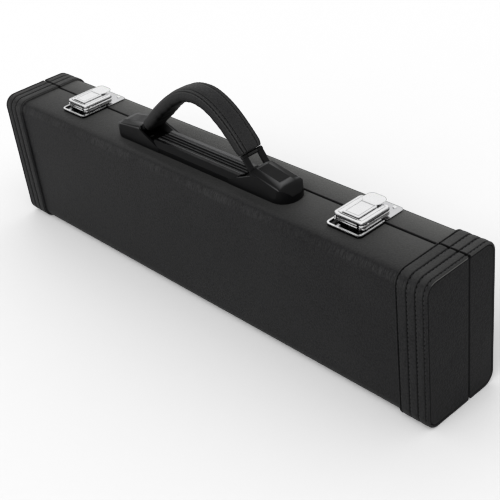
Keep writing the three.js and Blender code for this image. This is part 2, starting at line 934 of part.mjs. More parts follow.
// Housing: walls, a ridge on each side and a higher middle, carried along to a low round nose
function housing(side) {
  const wide = handleWidth / 2;
  const narrow = housingTopWidth / 2;
  const ridge = mouthHeight - roofDrop;
  const section = mirrored([
    [wide, 0],
    [wide, skirtHeight],
    [narrow, ridge - housingBevel],
    [narrow - housingBevel, ridge],
    [roofPanel.width / 2, mouthHeight],
  ]);
  const nose = roofNoseShares.map(([along, up]) => [
    roofEndX + (handleLength / 2 - roofEndX) * along,
    roofEndHeight * up,
  ]);
  const stations = [[cheekFootX, mouthHeight], [mouthX, mouthHeight], [roofEndX, roofEndHeight], ...nose];
  const rings = stations.map(([x, height]) =>
    section.map((point) => {
      const up = (point.y * height) / mouthHeight;
      return new THREE.Vector3(side * x, handleCentre + point.x, up);
    }),
  );
  const outlines = [...section].map((point) => new THREE.Vector2(side * point.x, point.y));
  return loft(rings, outlines, [...outlines]);
}

function cheekCut(side) {
  const outline = points(
    [
      [mouthX, cheekTopHeight],
      [mouthX, mouthHeight + cutOverrun],
      [cheekFootX - cutOverrun, mouthHeight + cutOverrun],
      [cheekFootX - cutOverrun, cheekFootHeight],
      [cheekFootX, cheekFootHeight],
    ].map(([x, z]) => [side * x, z]),
  );
  return prismY(outline, handleCentre - handleWidth, handleCentre + handleWidth);
}

function handleForm() {
  const half = handleLength / 2;
  const wide = handleWidth / 2;
  const plan = roundedBox(-half, handleCentre - wide, half, handleCentre + wide, handleEndRadius);
  const housings = cutBy(joined([housing(-1), housing(1)]), [cheekCut(-1), cheekCut(1)]);
  return housings.intersect(prismZ(plan, 0, mouthHeight));
}

// The bar between the housings, with a rail along each side of its channel
function middleBar() {
  const section = mirrored([
    [barWidth / 2, 0],
    [barWidth / 2, barShoulder],
    [barTopWidth / 2, barHeight],
  ]).map((point) => point.add(new THREE.Vector2(handleCentre, 0)));
  const channelHalf = barTopWidth / 2 - railWidth;
  const floor = barHeight - channelDepth;
  const channel = block(
    -mouthX,
    mouthX,
    handleCentre - channelHalf,
    handleCentre + channelHalf,
    floor,
    mouthHeight,
  );
  const ribs = [-1, 1].map((side) => {
    const y = handleCentre + side * fineRib.offset;
    const reach = [y - fineRib.width / 2, y + fineRib.width / 2];
    return block(-mouthX, mouthX, ...reach, floor / 2, floor + fineRib.rise);
  });
  return joined([prismX(section, -mouthX, mouthX).subtract(channel), ...ribs]);
}

// Pocket: open above in front of the mouth, and a narrower tunnel under the roof
function pocketCut(side) {
  const far = roofEndX - pocketWall;
  const open = points(
    [
      [pocketFrontX, pocketFloor],
      [mouthX, pocketFloor],
      [mouthX, mouthHeight + cutOverrun],
      [pocketFrontX, mouthHeight + cutOverrun],
    ].map(([x, z]) => [side * x, z]),
  );
  const tunnel = points(
    [
      [pocketFrontX, pocketFloor],
      [far, pocketFloor],
      [far, roofHeight(far) - roofThickness],
      [mouthX, mouthHeight - roofThickness],
      [pocketFrontX, mouthHeight - roofThickness],
    ].map(([x, z]) => [side * x, z]),
  );
  return prismY(open, handleCentre - pocketWidth / 2, handleCentre + pocketWidth / 2).add(
    prismY(tunnel, handleCentre - tunnelWidth / 2, handleCentre + tunnelWidth / 2),
  );
}

function roofPanelSolid(side) {
  const from = mouthX + roofPanel.margin;
  const to = roofEndX - roofPanel.margin;
  const outline = points(
    [
      [from, roofHeight(from) - roofThickness / 2],
      [to, roofHeight(to) - roofThickness / 2],
      [to, roofHeight(to) + roofPanel.rise],
      [from, roofHeight(from) + roofPanel.rise],
    ].map(([x, z]) => [side * x, z]),
  );
  return prismY(outline, handleCentre - roofPanel.width / 2, handleCentre + roofPanel.width / 2);
}

function handleBase() {
  const form = cutBy(handleForm().add(middleBar()), [pocketCut(-1), pocketCut(1)]);
  const holes = handleRivets(0).map((place) => hole(pocketRivet, place, -cutOverrun, cutOverrun));
  return cutBy(joined([form, roofPanelSolid(-1), roofPanelSolid(1)]), holes);
}

// Strap: a padded arch on one smooth curve, sewn along both edges, round a steel band
function strapCurve() {
  const radians = THREE.MathUtils.degToRad;
  const start = new THREE.Vector3(strapLeft.inset - mouthX, 0, strapLeft.height);
  const finish = new THREE.Vector3(mouthX - strapRight.inset, 0, strapRight.height);
  const span = finish.x - start.x;
  const rise = radians(strapLeft.slope);
  const fall = radians(strapRight.slope);
  const up = new THREE.Vector3(Math.cos(rise), 0, Math.sin(rise));
  const back = new THREE.Vector3(-Math.cos(fall), 0, Math.sin(fall));
  return new THREE.CubicBezierCurve3(
    start,
    start.clone().addScaledVector(up, span * strapLeft.share),
    finish.clone().addScaledVector(back, span * strapRight.share),
    finish,
  );
}

// Half of the strap's section, as shares of its half width and half thickness
const strapSectionShares = [
  [0, 1],
  [0.45, 0.94],
  [0.6, 0.76],
  [0.73, 0.88],
  [0.86, 0.66],
  [0.95, 0.64],
  [1, 0.1],
  [0.97, -0.5],
  [0.8, -0.84],
  [0.4, -0.97],
];

function strapOutline() {
  const right = strapSectionShares.map(([s, n]) => [s, n]);
  const left = strapSectionShares
    .slice(1)
    .map(([s, n]) => [-s, n])
    .reverse();
  const all = [...right, [0, -1], ...left];
  return points(all.map(([s, n]) => [(s * strapWidth) / 2, (n * strapThickness) / 2]));
}

function bandOutline(width, thickness) {
  return points([
    [width / 2, thickness / 2],
    [width / 2, -thickness / 2],
    [-width / 2, -thickness / 2],
    [-width / 2, thickness / 2],
  ]);
}

// An outline carried along the strap's curve, past its ends by a straight overrun
function carriedAlong(outline, overrun) {
  const curve = strapCurve();
  const frames = [];
  for (let step = 0; step <= strapSteps; step++) {
    const at = curve.getPoint(step / strapSteps);
    const along = curve.getTangent(step / strapSteps);
    if (step === 0 && overrun) frames.push([at.clone().addScaledVector(along, -overrun), along]);
    frames.push([at, along]);
    if (step === strapSteps && overrun) frames.push([at.clone().addScaledVector(along, overrun), along]);
  }
  const rings = frames.map(([at, along]) =>
    outline.map(
      ({ x: sideways, y: outwards }) =>
        new THREE.Vector3(at.x - along.z * outwards, handleCentre + sideways, at.z + along.x * outwards),
    ),
  );
  return loft(rings, outline, outline);
}

function strapEnds() {
  const curve = strapCurve();
  return [0, 1].map((t) => {
    const along = curve.getTangent(t).multiplyScalar(t ? 1 : -1);
    return curve.getPoint(t).addScaledVector(along, eyeOffset);
  });
}

function strapSolid() {
  const slot = carriedAlong(bandOutline(coreWidth + 2 * coreGap, coreThickness + 2 * coreGap), cutOverrun);
  const eyeRooms = strapEnds().map((eye) =>
    prismY(
      circlePoints(eye.x, eye.z, eyeRadius + coreGap, pinSides),
      handleCentre - strapWidth,
      handleCentre + strapWidth,
    ),
  );
  return cutBy(carriedAlong(strapOutline(), 0), [slot, ...eyeRooms]);
}

function coreSolid() {
  const band = carriedAlong(bandOutline(coreWidth, coreThickness), eyeOffset - linkPinRadius);
  const reach = coreWidth / 2 - linkSideGap;
  const eyes = strapEnds().map((eye) =>
    prismY(circlePoints(eye.x, eye.z, eyeRadius, pinSides), handleCentre - reach, handleCentre + reach),
  );
  const bores = strapEnds().map((eye) =>
    prismY(
      circlePoints(eye.x, eye.z, linkPinRadius + pinClearance, pinSides),
      handleCentre - strapWidth,
      handleCentre + strapWidth,
    ),
  );
  const sides = strapEnds().flatMap((eye) =>
    [-1, 1].map((side) => {
      const edges = [handleCentre + side * reach, handleCentre + side * coreWidth];
      return prismY(
        circlePoints(eye.x, eye.z, eyeRadius + coreGap, pinSides),
        Math.min(...edges),
        Math.max(...edges),
      );
    }),
  );
  return cutBy(cutBy(band, sides).add(joined(eyes)), bores);
}

// Link: two prongs with eyes on the pin, and a foot that slides in the housing
function linkSolid() {
  const wide = linkWidth / 2;
  const narrow = wide - linkProng;
  const thick = linkThickness / 2;
  const plate = block(0, linkLength, -wide, wide, -thick, thick);
  const eyes = prismY(circlePoints(0, 0, eyeRadius, pinSides), -wide, wide);
  const foot = prismY(circlePoints(linkLength, 0, linkFootRadius, pinSides), -wide, wide);
  const window = block(-strapWidth, linkLength - linkFoot, -narrow, narrow, -strapWidth, strapWidth);
  const bore = prismY(circlePoints(0, 0, linkPinRadius + pinClearance, pinSides), -strapWidth, strapWidth);
  return cutBy(joined([plate, eyes, foot]), [window, bore]);
}

function addHandle() {
  const top = coverTop + seatGap;
  const seat = addGroup(handleOffset, 0, top);
  addPart("handle_base", handleBase(), "plastic", seat);
  addPart("handle_strap", strapSolid(), "leatherette", seat);
  addPart("handle_core", coreSolid(), "steel", seat);
  const [left, right] = strapEnds();
  const placed = [
    ["left", left, 180 - leftLinkTilt],
    ["right", right, rightLinkTilt],
  ];
  for (const [name, eye, turn] of placed) {
    const group = addGroup(handleOffset + eye.x, handleCentre, eye.z + top, turn);
    const pin = prismY(circlePoints(0, 0, linkPinRadius, pinSides), -linkWidth / 2, linkWidth / 2);
    addPart(`handle_link_${name}`, linkSolid(), "plastic", group);
    addPart(`handle_link_pin_${name}`, pin, "steel", group);
  }
}

// Everything
for (const half of [body, lid]) {
  addPart(`${half.name}_board`, board(half), "board");
  addPart(`${half.name}_cover`, cover(half), "leatherette");
  for (const end of ends) {
    addPart(`${half.name}_wrap_${end.name}`, wrap(half, end), "leatherette");
    addPart(`${half.name}_end_panel_${end.name}`, endPanel(half, end), "leatherette");
  }
  addHingeRivets(half);
}
addPart("body_lining", bodyLining(), "plush");
addPart("lid_lining", lidLining(), "plush");
for (const end of ends) {
  const seat = addGroup(end.side * hingeOffset, 0, 0);
  addPart(`hinge_body_leaf_${end.name}`, hingeLeaf(body), "steel", seat);
  addPart(`hinge_lid_leaf_${end.name}`, hingeLeaf(lid), "steel", seat);
  addPart(`hinge_pin_${end.name}`, hingePin(), "steel", seat);
  addLatch(end);
}
const plateTop = coverTop + seatGap + rivetClearance;
addRivets(
  "latch_base_rivet",
  latchRivet,
  latchRivets(body),
  plateTop + baseThickness,
  wallGrip + baseThickness,
);
addRivets(
  "latch_keeper_rivet",
  latchRivet,
  latchRivets(lid),
  plateTop + keeperThickness,
  wallGrip + keeperThickness,
);
addHandle();
addRivets("handle_rivet", pocketRivet, handleRivets(), plateTop + pocketFloor, wallGrip + pocketFloor);

export default flute_case;
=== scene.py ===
import json
from math import copysign, cos, dist, pi, radians, sin

import bmesh
import bpy
from mathutils import Matrix, Vector, noise


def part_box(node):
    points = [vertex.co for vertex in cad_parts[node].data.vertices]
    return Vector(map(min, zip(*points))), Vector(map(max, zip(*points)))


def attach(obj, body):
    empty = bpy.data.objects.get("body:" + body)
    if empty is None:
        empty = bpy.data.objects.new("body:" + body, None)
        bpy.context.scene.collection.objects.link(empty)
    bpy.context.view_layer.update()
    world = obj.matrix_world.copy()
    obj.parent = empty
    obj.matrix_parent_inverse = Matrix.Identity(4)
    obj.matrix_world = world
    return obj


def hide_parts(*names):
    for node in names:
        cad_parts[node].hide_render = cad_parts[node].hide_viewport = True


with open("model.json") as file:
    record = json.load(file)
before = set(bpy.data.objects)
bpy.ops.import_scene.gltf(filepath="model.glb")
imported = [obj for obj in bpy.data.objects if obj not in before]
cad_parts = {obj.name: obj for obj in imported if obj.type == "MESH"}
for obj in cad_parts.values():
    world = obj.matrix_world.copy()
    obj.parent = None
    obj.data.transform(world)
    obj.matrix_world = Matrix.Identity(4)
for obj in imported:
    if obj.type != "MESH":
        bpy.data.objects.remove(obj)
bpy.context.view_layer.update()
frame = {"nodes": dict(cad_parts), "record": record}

# ---- the case's own sizes, in metres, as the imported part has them
case = {
    "length": 0.420,
    "height": 0.104,
    "partingY": 0.007,
    "rim": 0.0003,
    "edgeRadius": 0.009,
    "wrapProud": 0.0014,
    "endRim": 0.002,
    "chamfer": 0.002,
}
halves = {
    "body": {"side": -1, "depth": 0.038},
    "lid": {"side": 1, "depth": 0.024},
}
ends = {"left": -1, "right": 1}
latchX = {"left": -0.1367, "right": 0.1367}


# ---- node trees, made with a few short helpers
def addNode(tree, kind, inputs=None, **settings):
    # an input is a link or a plain value, and a plain color is three numbers; gives the outputs
    node = tree.nodes.new(kind)
    for key, value in settings.items():
        setattr(node, key, value)
    for key, value in (inputs or {}).items():
        socket = node.inputs[key]
        if isinstance(value, bpy.types.NodeSocket):
            tree.links.new(value, socket)
        else:
            socket.default_value = (*value, 1) if socket.type == "RGBA" else value
    return node.outputs


def addMath(tree, operation, first, second=0.0, third=0.0, clamp=False):
    inputs = {0: first, 1: second, 2: third}
    return addNode(tree, "ShaderNodeMath", inputs, operation=operation, use_clamp=clamp)[0]


def addMix(tree, amount, first, second):
    return addNode(tree, "ShaderNodeMix", {0: amount, 6: first, 7: second}, data_type="RGBA")[2]


def addRange(tree, value, low, high, toLow=0.0, toHigh=1.0):
    return addNode(tree, "ShaderNodeMapRange", {0: value, 1: low, 2: high, 3: toLow, 4: toHigh})[0]


def addNoise(tree, place, scale, detail, distortion=0.0):
    inputs = {"Vector": place, "Scale": scale, "Detail": detail, "Distortion": distortion}
    return addNode(tree, "ShaderNodeTexNoise", inputs)


def addVector(tree, x, y, z):
    return addNode(tree, "ShaderNodeCombineXYZ", {0: x, 1: y, 2: z})[0]


def newGroup(name, inputs, outputs, kind="ShaderNodeTree"):
    # sockets are {name: type}, with the type's name cut short
    group = bpy.data.node_groups.new(name, kind)
    for side, sockets in (("INPUT", inputs), ("OUTPUT", outputs)):
        for key, value in sockets.items():
            group.interface.new_socket(name=key, in_out=side, socket_type="NodeSocket" + value)
    return group, group.nodes.new("NodeGroupInput").outputs, group.nodes.new("NodeGroupOutput").inputs


def newTree(name, inputs):
    geometry = {"Geometry": "Geometry"}
    return newGroup(name, {**geometry, **inputs}, geometry, "GeometryNodeTree")


def useGroup(tree, group, inputs):
    return addNode(tree, "ShaderNodeGroup", inputs, node_tree=group)


# ---- effects that several finishes share
pebbleLook = {
    "warpPerMetre": 300.0,
    "warp": 0.0012,
    "roundness": 0.6,
    "pebbleEdge": (0.1, 0.75),
    "poresPerPebble": 3.1,
    "poreHeight": 0.45,
    "patchesPerMetre": 22.0,
    "patchRange": (0.3, 0.7),
    "pebbleTone": 0.55,
    "patchTone": 0.45,
    "pebbleRoughness": -0.08,
    "patchRoughness": (-0.05, 0.06),
}


def makePebbleGrain(look):
    # leatherette: rounded pebbles with fine pores between them, and slow changes of tone
    floats = dict.fromkeys(("Pebbles per metre", "Roughness"), "Float")
    inputs = {"Vector": "Vector", "Tone": "Color", "Pale tone": "Color", **floats}
    outputs = {"Color": "Color", "Roughness": "Float", "Height": "Float"}
    tree, given, out = newGroup("pebbleGrain", inputs, outputs)
    place, density = given["Vector"], given["Pebbles per metre"]
    warp = addNoise(tree, place, look["warpPerMetre"], 2.0)["Color"]
    shift = addNode(tree, "ShaderNodeVectorMath", {0: warp, 3: look["warp"]}, operation="SCALE")
    warped = addNode(tree, "ShaderNodeVectorMath", {0: place, 1: shift[0]}, operation="ADD")
    cellInputs = {"Vector": warped[0], "Scale": density, "Smoothness": look["roundness"]}
    cells = addNode(tree, "ShaderNodeTexVoronoi", cellInputs, feature="SMOOTH_F1")
    pebble = addRange(tree, cells["Distance"], *look["pebbleEdge"], 1.0, 0.0)
    finer = addMath(tree, "MULTIPLY", density, look["poresPerPebble"])
    pores = addMath(tree, "MULTIPLY", addNoise(tree, place, finer, 3.0)["Fac"], look["poreHeight"])
    tree.links.new(addMath(tree, "ADD", pebble, pores), out["Height"])
    patches = addNoise(tree, place, look["patchesPerMetre"], 4.0)["Fac"]
    patchTone = addRange(tree, patches, *look["patchRange"], 0.0, look["patchTone"])
    tone = addMath(tree, "MULTIPLY_ADD", pebble, look["pebbleTone"], patchTone)
    tree.links.new(addMix(tree, tone, given["Tone"], given["Pale tone"]), out["Color"])
    patchRoughness = addRange(tree, patches, *look["patchRange"], *look["patchRoughness"])
    rough = addMath(tree, "ADD", patchRoughness, given["Roughness"])
    rough = addMath(tree, "MULTIPLY_ADD", pebble, look["pebbleRoughness"], rough)
    tree.links.new(rough, out["Roughness"])
    return tree


markLook = {
    "smearsPerMetre": 140.0,
    "smearRange": (0.35, 0.75),
    "hairsPerMetre": 420.0,
    "hairRange": (0.62, 0.7),
    "hairTurn": (0, 0, 0.6),
    "hairStretch": (1, 14, 3),
}


def makeHandlingMarks(look):
    # faint smears and hairline scratches on hard, shiny pieces
    inputs = {"Vector": "Vector", "Roughness": "Float", "Smears": "Float", "Scratches": "Float"}
    tree, given, out = newGroup("handlingMarks", inputs, {"Roughness": "Float", "Height": "Float"})
    place = given["Vector"]
    combing = {"Vector": place, "Rotation": look["hairTurn"], "Scale": look["hairStretch"]}
    combed = addNode(tree, "ShaderNodeMapping", combing)[0]
    line = addRange(tree, addNoise(tree, combed, look["hairsPerMetre"], 2.0)["Fac"], *look["hairRange"])
    smear = addNoise(tree, place, look["smearsPerMetre"], 5.0)["Fac"]
    smear = addRange(tree, smear, *look["smearRange"])
    smeared = addMath(tree, "MULTIPLY", smear, given["Smears"])
    marked = addMath(tree, "MULTIPLY_ADD", line, given["Scratches"], smeared)
    tree.links.new(addMath(tree, "ADD", marked, given["Roughness"]), out["Roughness"])
    tree.links.new(addMath(tree, "MULTIPLY", line, -1.0), out["Height"])
    return tree


lintLook = {
    "cellsPerMetre": 55.0,
    "cleanShare": 0.93,
    "speckEdge": (0.012, 0.03),
}


def makeLintSpecks(look):
    # pale specks of lint, sparse
    inputs = {"Vector": "Vector", "Amount": "Float"}
    tree, given, out = newGroup("lintSpecks", inputs, {"Mask": "Float"})
    cellInputs = {"Vector": given["Vector"], "Scale": look["cellsPerMetre"]}
    cells = addNode(tree, "ShaderNodeTexVoronoi", cellInputs)
    tint = addNode(tree, "ShaderNodeSeparateColor", {0: cells["Color"]})[0]
    chosen = addMath(tree, "GREATER_THAN", tint, look["cleanShare"])
    speck = addRange(tree, cells["Distance"], *look["speckEdge"], 1.0, 0.0)
    mask = addMath(tree, "MULTIPLY", addMath(tree, "MULTIPLY", chosen, speck), given["Amount"])
    tree.links.new(mask, out["Mask"])
    return tree


stretchLook = {
    "linesPerMetre": 2600.0,
    "lineRange": (0.42, 0.7),
    "lineStretch": (1.0, 0.08, 0.08),
    "patchesPerMetre": 24.0,
    "patchRange": (0.35, 0.6),
    "faintest": 0.35,
    # heights between which the lines come in, and between which they go out
    "comeIn": (0.0952, 0.0972),
    "goOut": (0.1014, 0.1002),
}


def makeStretchLinesAndSheen(look):
    # pale stretch lines across the rounded top edges, where the leather is pulled over the board; their
    # pale band there is partly painted sheen
    tree, given, out = newGroup("stretchLinesAndSheen", {"Vector": "Vector"}, {"Mask": "Float"})
    place = given["Vector"]
    narrow = addNode(tree, "ShaderNodeMapping", {"Vector": place, "Scale": look["lineStretch"]})[0]
    lines = addRange(tree, addNoise(tree, narrow, look["linesPerMetre"], 2.0)["Fac"], *look["lineRange"])
    patches = addNoise(tree, place, look["patchesPerMetre"], 2.0)["Fac"]
    height = addNode(tree, "ShaderNodeSeparateXYZ", {0: place})["Z"]
    comeIn, goOut = (addRange(tree, height, *look[key]) for key in ("comeIn", "goOut"))
    patchy = addRange(tree, patches, *look["patchRange"], look["faintest"], 1.0)
    strength = addMath(tree, "MULTIPLY", addMath(tree, "MULTIPLY", comeIn, goOut), patchy)
    tree.links.new(addMath(tree, "MULTIPLY", lines, strength, clamp=True), out["Mask"])
    return tree


pebbleGrain = makePebbleGrain(pebbleLook)
handlingMarks = makeHandlingMarks(markLook)
lintSpecks = makeLintSpecks(lintLook)
stretchLinesAndSheen = makeStretchLinesAndSheen(stretchLook)


# ---- finishes: each has its look, and a function that turns a look into links
def makeFinish(name, look, build):
    # build gives the links that change over the surface, and the look's own sockets stay constant
    material = bpy.data.materials.new(name)
    material.use_nodes = True
    tree = material.node_tree
    shader = tree.nodes["Principled BSDF"]
    place = addNode(tree, "ShaderNodeTexCoord")["Object"]
    for key, link in build(tree, place, look).items():
        tree.links.new(link, shader.inputs[key])
    for key, value in look.get("sockets", {}).items():
        shader.inputs[key].default_value = value
    return material


def surface(tree, color, roughness, height, bumpDepth):
    bump = addNode(tree, "ShaderNodeBump", {"Height": height, "Distance": bumpDepth})
    return {"Base Color": color, "Roughness": roughness, "Normal": bump[0]}


def shadedColor(tree, color, dark, pale):
    # the piece's own shade value paints shade into its grooves and creases (above zero) and paints light
    # onto its edges and tops (below)
    shade = addNode(tree, "ShaderNodeAttribute", attribute_name="shade")["Fac"]
    darkened = addMix(tree, addRange(tree, shade, 0.0, 1.0), color, dark)
    return addMix(tree, addRange(tree, shade, 0.0, -1.0), darkened, pale)


def leather(tree, place, look):
    grain = useGroup(tree, pebbleGrain, {
        "Vector": place,
        "Pebbles per metre": look["pebbles"],
        "Tone": look["tone"],
        "Pale tone": look["paleTone"],
        "Roughness": look["roughness"],
    })
    specks = useGroup(tree, lintSpecks, {"Vector": place, "Amount": look["lint"]})
    linted = addMix(tree, specks["Mask"], grain["Color"], look["lintTone"])
    pulled = useGroup(tree, stretchLinesAndSheen, {"Vector": place})
    stretchedAndSheen = addMix(tree, pulled["Mask"], linted, look["stretchedAndSheen"])
    color = shadedColor(tree, stretchedAndSheen, look["groove"], look["paintedLight"])
    slow = addNoise(tree, place, look["wavesPerMetre"], 2.0)["Fac"]
    waves = addMath(tree, "MULTIPLY", slow, look["waveHeight"] / look["grainHeight"])
    height = addMath(tree, "ADD", grain["Height"], waves)
    return surface(tree, color, grain["Roughness"], height, look["grainHeight"])


caseLook = {
    "tone": (0.0055, 0.0055, 0.006),
    "paleTone": (0.021, 0.021, 0.0215),
    "roughness": 0.55,
    "pebbles": 950.0,
    "grainHeight": 0.00009,
    "wavesPerMetre": 26.0,
    "waveHeight": 0.0005,
    "sockets": {"Specular IOR Level": 0.1},
    "lint": 0.3,
    "lintTone": (0.35, 0.35, 0.34),
    # the next tones: painted shade in grooves and creases, painted light on edges and tops, and stretch
    # lines with painted sheen on the rounded top edges
    "groove": (0.001, 0.001, 0.001),
    "paintedLight": (0.16, 0.16, 0.155),
    "stretchedAndSheen": (0.042, 0.042, 0.042),
}
wrapLook = dict(caseLook, paleTone=(0.026, 0.026, 0.0265), grainHeight=0.0001)
# the end panels: the same leatherette painted darker as shade, as the ends face away from the light
shadedPanelLook = dict(
    caseLook,
    tone=(0.002, 0.002, 0.0025),
    paleTone=(0.009, 0.009, 0.0095),
    stretchedAndSheen=(0.006, 0.006, 0.006),
)
strapLook = dict(
    caseLook,
    tone=(0.011, 0.011, 0.0115),
    paleTone=(0.034, 0.034, 0.0345),
    roughness=0.5,
    pebbles=1300.0,
    grainHeight=0.00006,
    waveHeight=0.0002,
    sockets={"Specular IOR Level": 0.08},
)
leatherette = makeFinish("leatherette", caseLook, leather)
wrapLeather = makeFinish("wrapLeather", wrapLook, leather)
shadedPanelLeather = makeFinish("shadedPanelLeather", shadedPanelLook, leather)
strapLeather = makeFinish("strapLeather", strapLook, leather)


def useMarks(tree, place, look):
    values = {key: look[key.lower()] for key in ("Roughness", "Smears", "Scratches")}
    return useGroup(tree, handlingMarks, {"Vector": place, **values})


def metal(tree, place, look):
    marks = useMarks(tree, place, look)
    tint = addNoise(tree, place, look["tintsPerMetre"], 3.0)["Fac"]
    plate = addMix(tree, tint, look["tone"], look["paleTone"])
    if "darkBelow" in look:
        # the inside of a tray is in its own shade, and only the rim above it is bright
        height = addNode(tree, "ShaderNodeSeparateXYZ", {0: place})["Z"]
        plate = addMix(tree, addRange(tree, height, *look["darkBelow"]), look["groove"], plate)
    color = shadedColor(tree, plate, look["groove"], look["paleTone"])
    return surface(tree, color, marks["Roughness"], marks["Height"], look["scratchDepth"])


plateLook = {
    "tone": (0.78, 0.78, 0.785),
    "paleTone": (0.86, 0.86, 0.865),
    # tone of the painted shade in the plating's steps and low inside trays
    "groove": (0.012, 0.012, 0.013),
    "roughness": 0.2,
    "smears": 0.1,
    "scratches": 0.1,
    "scratchDepth": 0.000006,
    "tintsPerMetre": 90.0,
    "sockets": {"Metallic": 1.0},
}
# the keeper: the same nickel plate painted darker as shade, and painted dark low on its sides as contact
# shade
shadedKeeperLook = dict(
    plateLook,
    tone=(0.55, 0.55, 0.56),
    paleTone=(0.64, 0.64, 0.65),
    darkBelow=(0.1031, 0.1035),
)
steelLook = {
    "tone": (0.42, 0.42, 0.43),
    "paleTone": (0.6, 0.6, 0.61),
    "groove": (0.05, 0.05, 0.05),
    "roughness": 0.28,
    "smears": 0.2,
    "scratches": 0.15,
    "scratchDepth": 0.00001,
    "tintsPerMetre": 160.0,
    "sockets": {"Metallic": 1.0},
}
trayLook = dict(plateLook, darkBelow=(0.1040, 0.1042))
innerLook = dict(plateLook, darkBelow=(0.1088, 0.1098))
blackLook = dict(steelLook, tone=(0.012, 0.012, 0.012), paleTone=(0.03, 0.03, 0.03))
nickelPlate = makeFinish("nickelPlate", plateLook, metal)
trayNickel = makeFinish("trayNickel", trayLook, metal)
shadedKeeperNickel = makeFinish("shadedKeeperNickel", shadedKeeperLook, metal)
innerNickel = makeFinish("innerNickel", innerLook, metal)
dullSteel = makeFinish("dullSteel", steelLook, metal)
blackenedSteel = makeFinish("blackenedSteel", blackLook, metal)

plasticLook = {
    "tone": (0.0015, 0.0015, 0.0017),
    "paleTone": (0.004, 0.004, 0.0043),
    "roughness": 0.36,
    "smears": 0.1,
    "scratches": 0.06,
    "stipplePerMetre": 2600.0,
    "stippleHeight": 0.00002,
    "sockets": {"Specular IOR Level": 0.09},
    # tones of the painted shade at the ribs' feet, and of the painted highlights on ridges, rail and
    # crests
    "groove": (0.0005, 0.0005, 0.0005),
    "paintedLight": (0.11, 0.11, 0.112),
    "scratchHeight": 0.4,
}


def plastic(tree, place, look):
    # moulded plastic: a very fine stipple, with rubbed, shinier places
    marks = useMarks(tree, place, look)
    stipple = addNoise(tree, place, look["stipplePerMetre"], 2.0)["Fac"]
    moulded = addMix(tree, stipple, look["tone"], look["paleTone"])
    color = shadedColor(tree, moulded, look["groove"], look["paintedLight"])
    height = addMath(tree, "MULTIPLY_ADD", marks["Height"], look["scratchHeight"], stipple)
    return surface(tree, color, marks["Roughness"], height, look["stippleHeight"])


threadLook = {
    "tone": (0.006, 0.006, 0.007),
    "paleTone": (0.03, 0.03, 0.032),
    "roughness": (0.65, 0.5),
    "pliesPerMetre": 900.0,
    "plyHeight": 0.00005,
}


def thread(tree, place, look):
    # twisted thread: fine slanted plies
    twist = {"Vector": place, "Scale": look["pliesPerMetre"], "Distortion": 2.0, "Detail": 1.0}
    plies = addNode(tree, "ShaderNodeTexWave", twist, bands_direction="DIAGONAL")["Fac"]
    color = addMix(tree, plies, look["tone"], look["paleTone"])
    roughness = addRange(tree, plies, 0.0, 1.0, *look["roughness"])
    return surface(tree, color, roughness, plies, look["plyHeight"])


plushLook = {
    "tone": (0.006, 0.007, 0.012),
    "paleTone": (0.032, 0.035, 0.055),
    "roughness": (0.95, 0.8),
    "pilePerMetre": 2200.0,
    "pileHeight": 0.0006,
    "strokesPerMetre": 38.0,
    "sockets": {"Sheen Weight": 0.5, "Sheen Roughness": 0.4},
}


def pile(tree, place, look):
    # short pile, brushed this way and that
    hairs = addNoise(tree, place, look["pilePerMetre"], 4.0)["Fac"]
    strokes = addNoise(tree, place, look["strokesPerMetre"], 3.0, 0.8)["Fac"]
    lie = addRange(tree, strokes, 0.35, 0.65)
    mixed = addMath(tree, "MULTIPLY_ADD", hairs, 0.5, addMath(tree, "MULTIPLY", lie, 0.5))
    color = addMix(tree, mixed, look["tone"], look["paleTone"])
    roughness = addRange(tree, lie, 0.0, 1.0, *look["roughness"])
    return surface(tree, color, roughness, hairs, look["pileHeight"])


boardLook = {
    "tone": (0.16, 0.09, 0.04),
    "paleTone": (0.36, 0.23, 0.12),
    "roughness": (0.95, 0.75),
    "fibresPerMetre": 700.0,
    "fibreHeight": 0.0002,
}


def fibres(tree, place, look):
    strands = addNoise(tree, place, look["fibresPerMetre"], 6.0, 1.2)["Fac"]
    color = addMix(tree, strands, look["tone"], look["paleTone"])
    roughness = addRange(tree, strands, 0.2, 0.8, *look["roughness"])
    return surface(tree, color, roughness, strands, look["fibreHeight"])


handlePlastic = makeFinish("handlePlastic", plasticLook, plastic)
blackThread = makeFinish("blackThread", threadLook, thread)
plush = makeFinish("plush", plushLook, pile)
fibreboard = makeFinish("fibreboard", boardLook, fibres)
print("finishes made")


# ---- meshes
meshing = {
    "samePoint": 0.000004,
    "samePlane": 0.0001,
    "cutSlack": 0.000001,
    "flatAngle": 0.6,
    "bevelAngle": 33,
    "rimSegments": 5,
}


def addObject(name, data):
    thing = bpy.data.objects.new(name, data)
    bpy.context.scene.collection.objects.link(thing)
    return thing


def newPiece(name, vertices, faces, material, smoothAngle=35, shades=None):
    mesh = bpy.data.meshes.new(name)
    mesh.from_pydata([tuple(v) for v in vertices], [], faces)
    mesh.materials.append(material)
    if shades:
        mesh.attributes.new("shade", "FLOAT", "POINT").data.foreach_set("value", shades)
    mesh.polygons.foreach_set("use_smooth", [True] * len(mesh.polygons))
    mesh.set_sharp_from_angle(angle=radians(smoothAngle))
    return addObject(name, mesh)


def facesOut(piece):
    work = bmesh.new()
    work.from_mesh(piece.data)
    bmesh.ops.recalc_face_normals(work, faces=work.faces)
    work.to_mesh(piece.data)
    work.free()


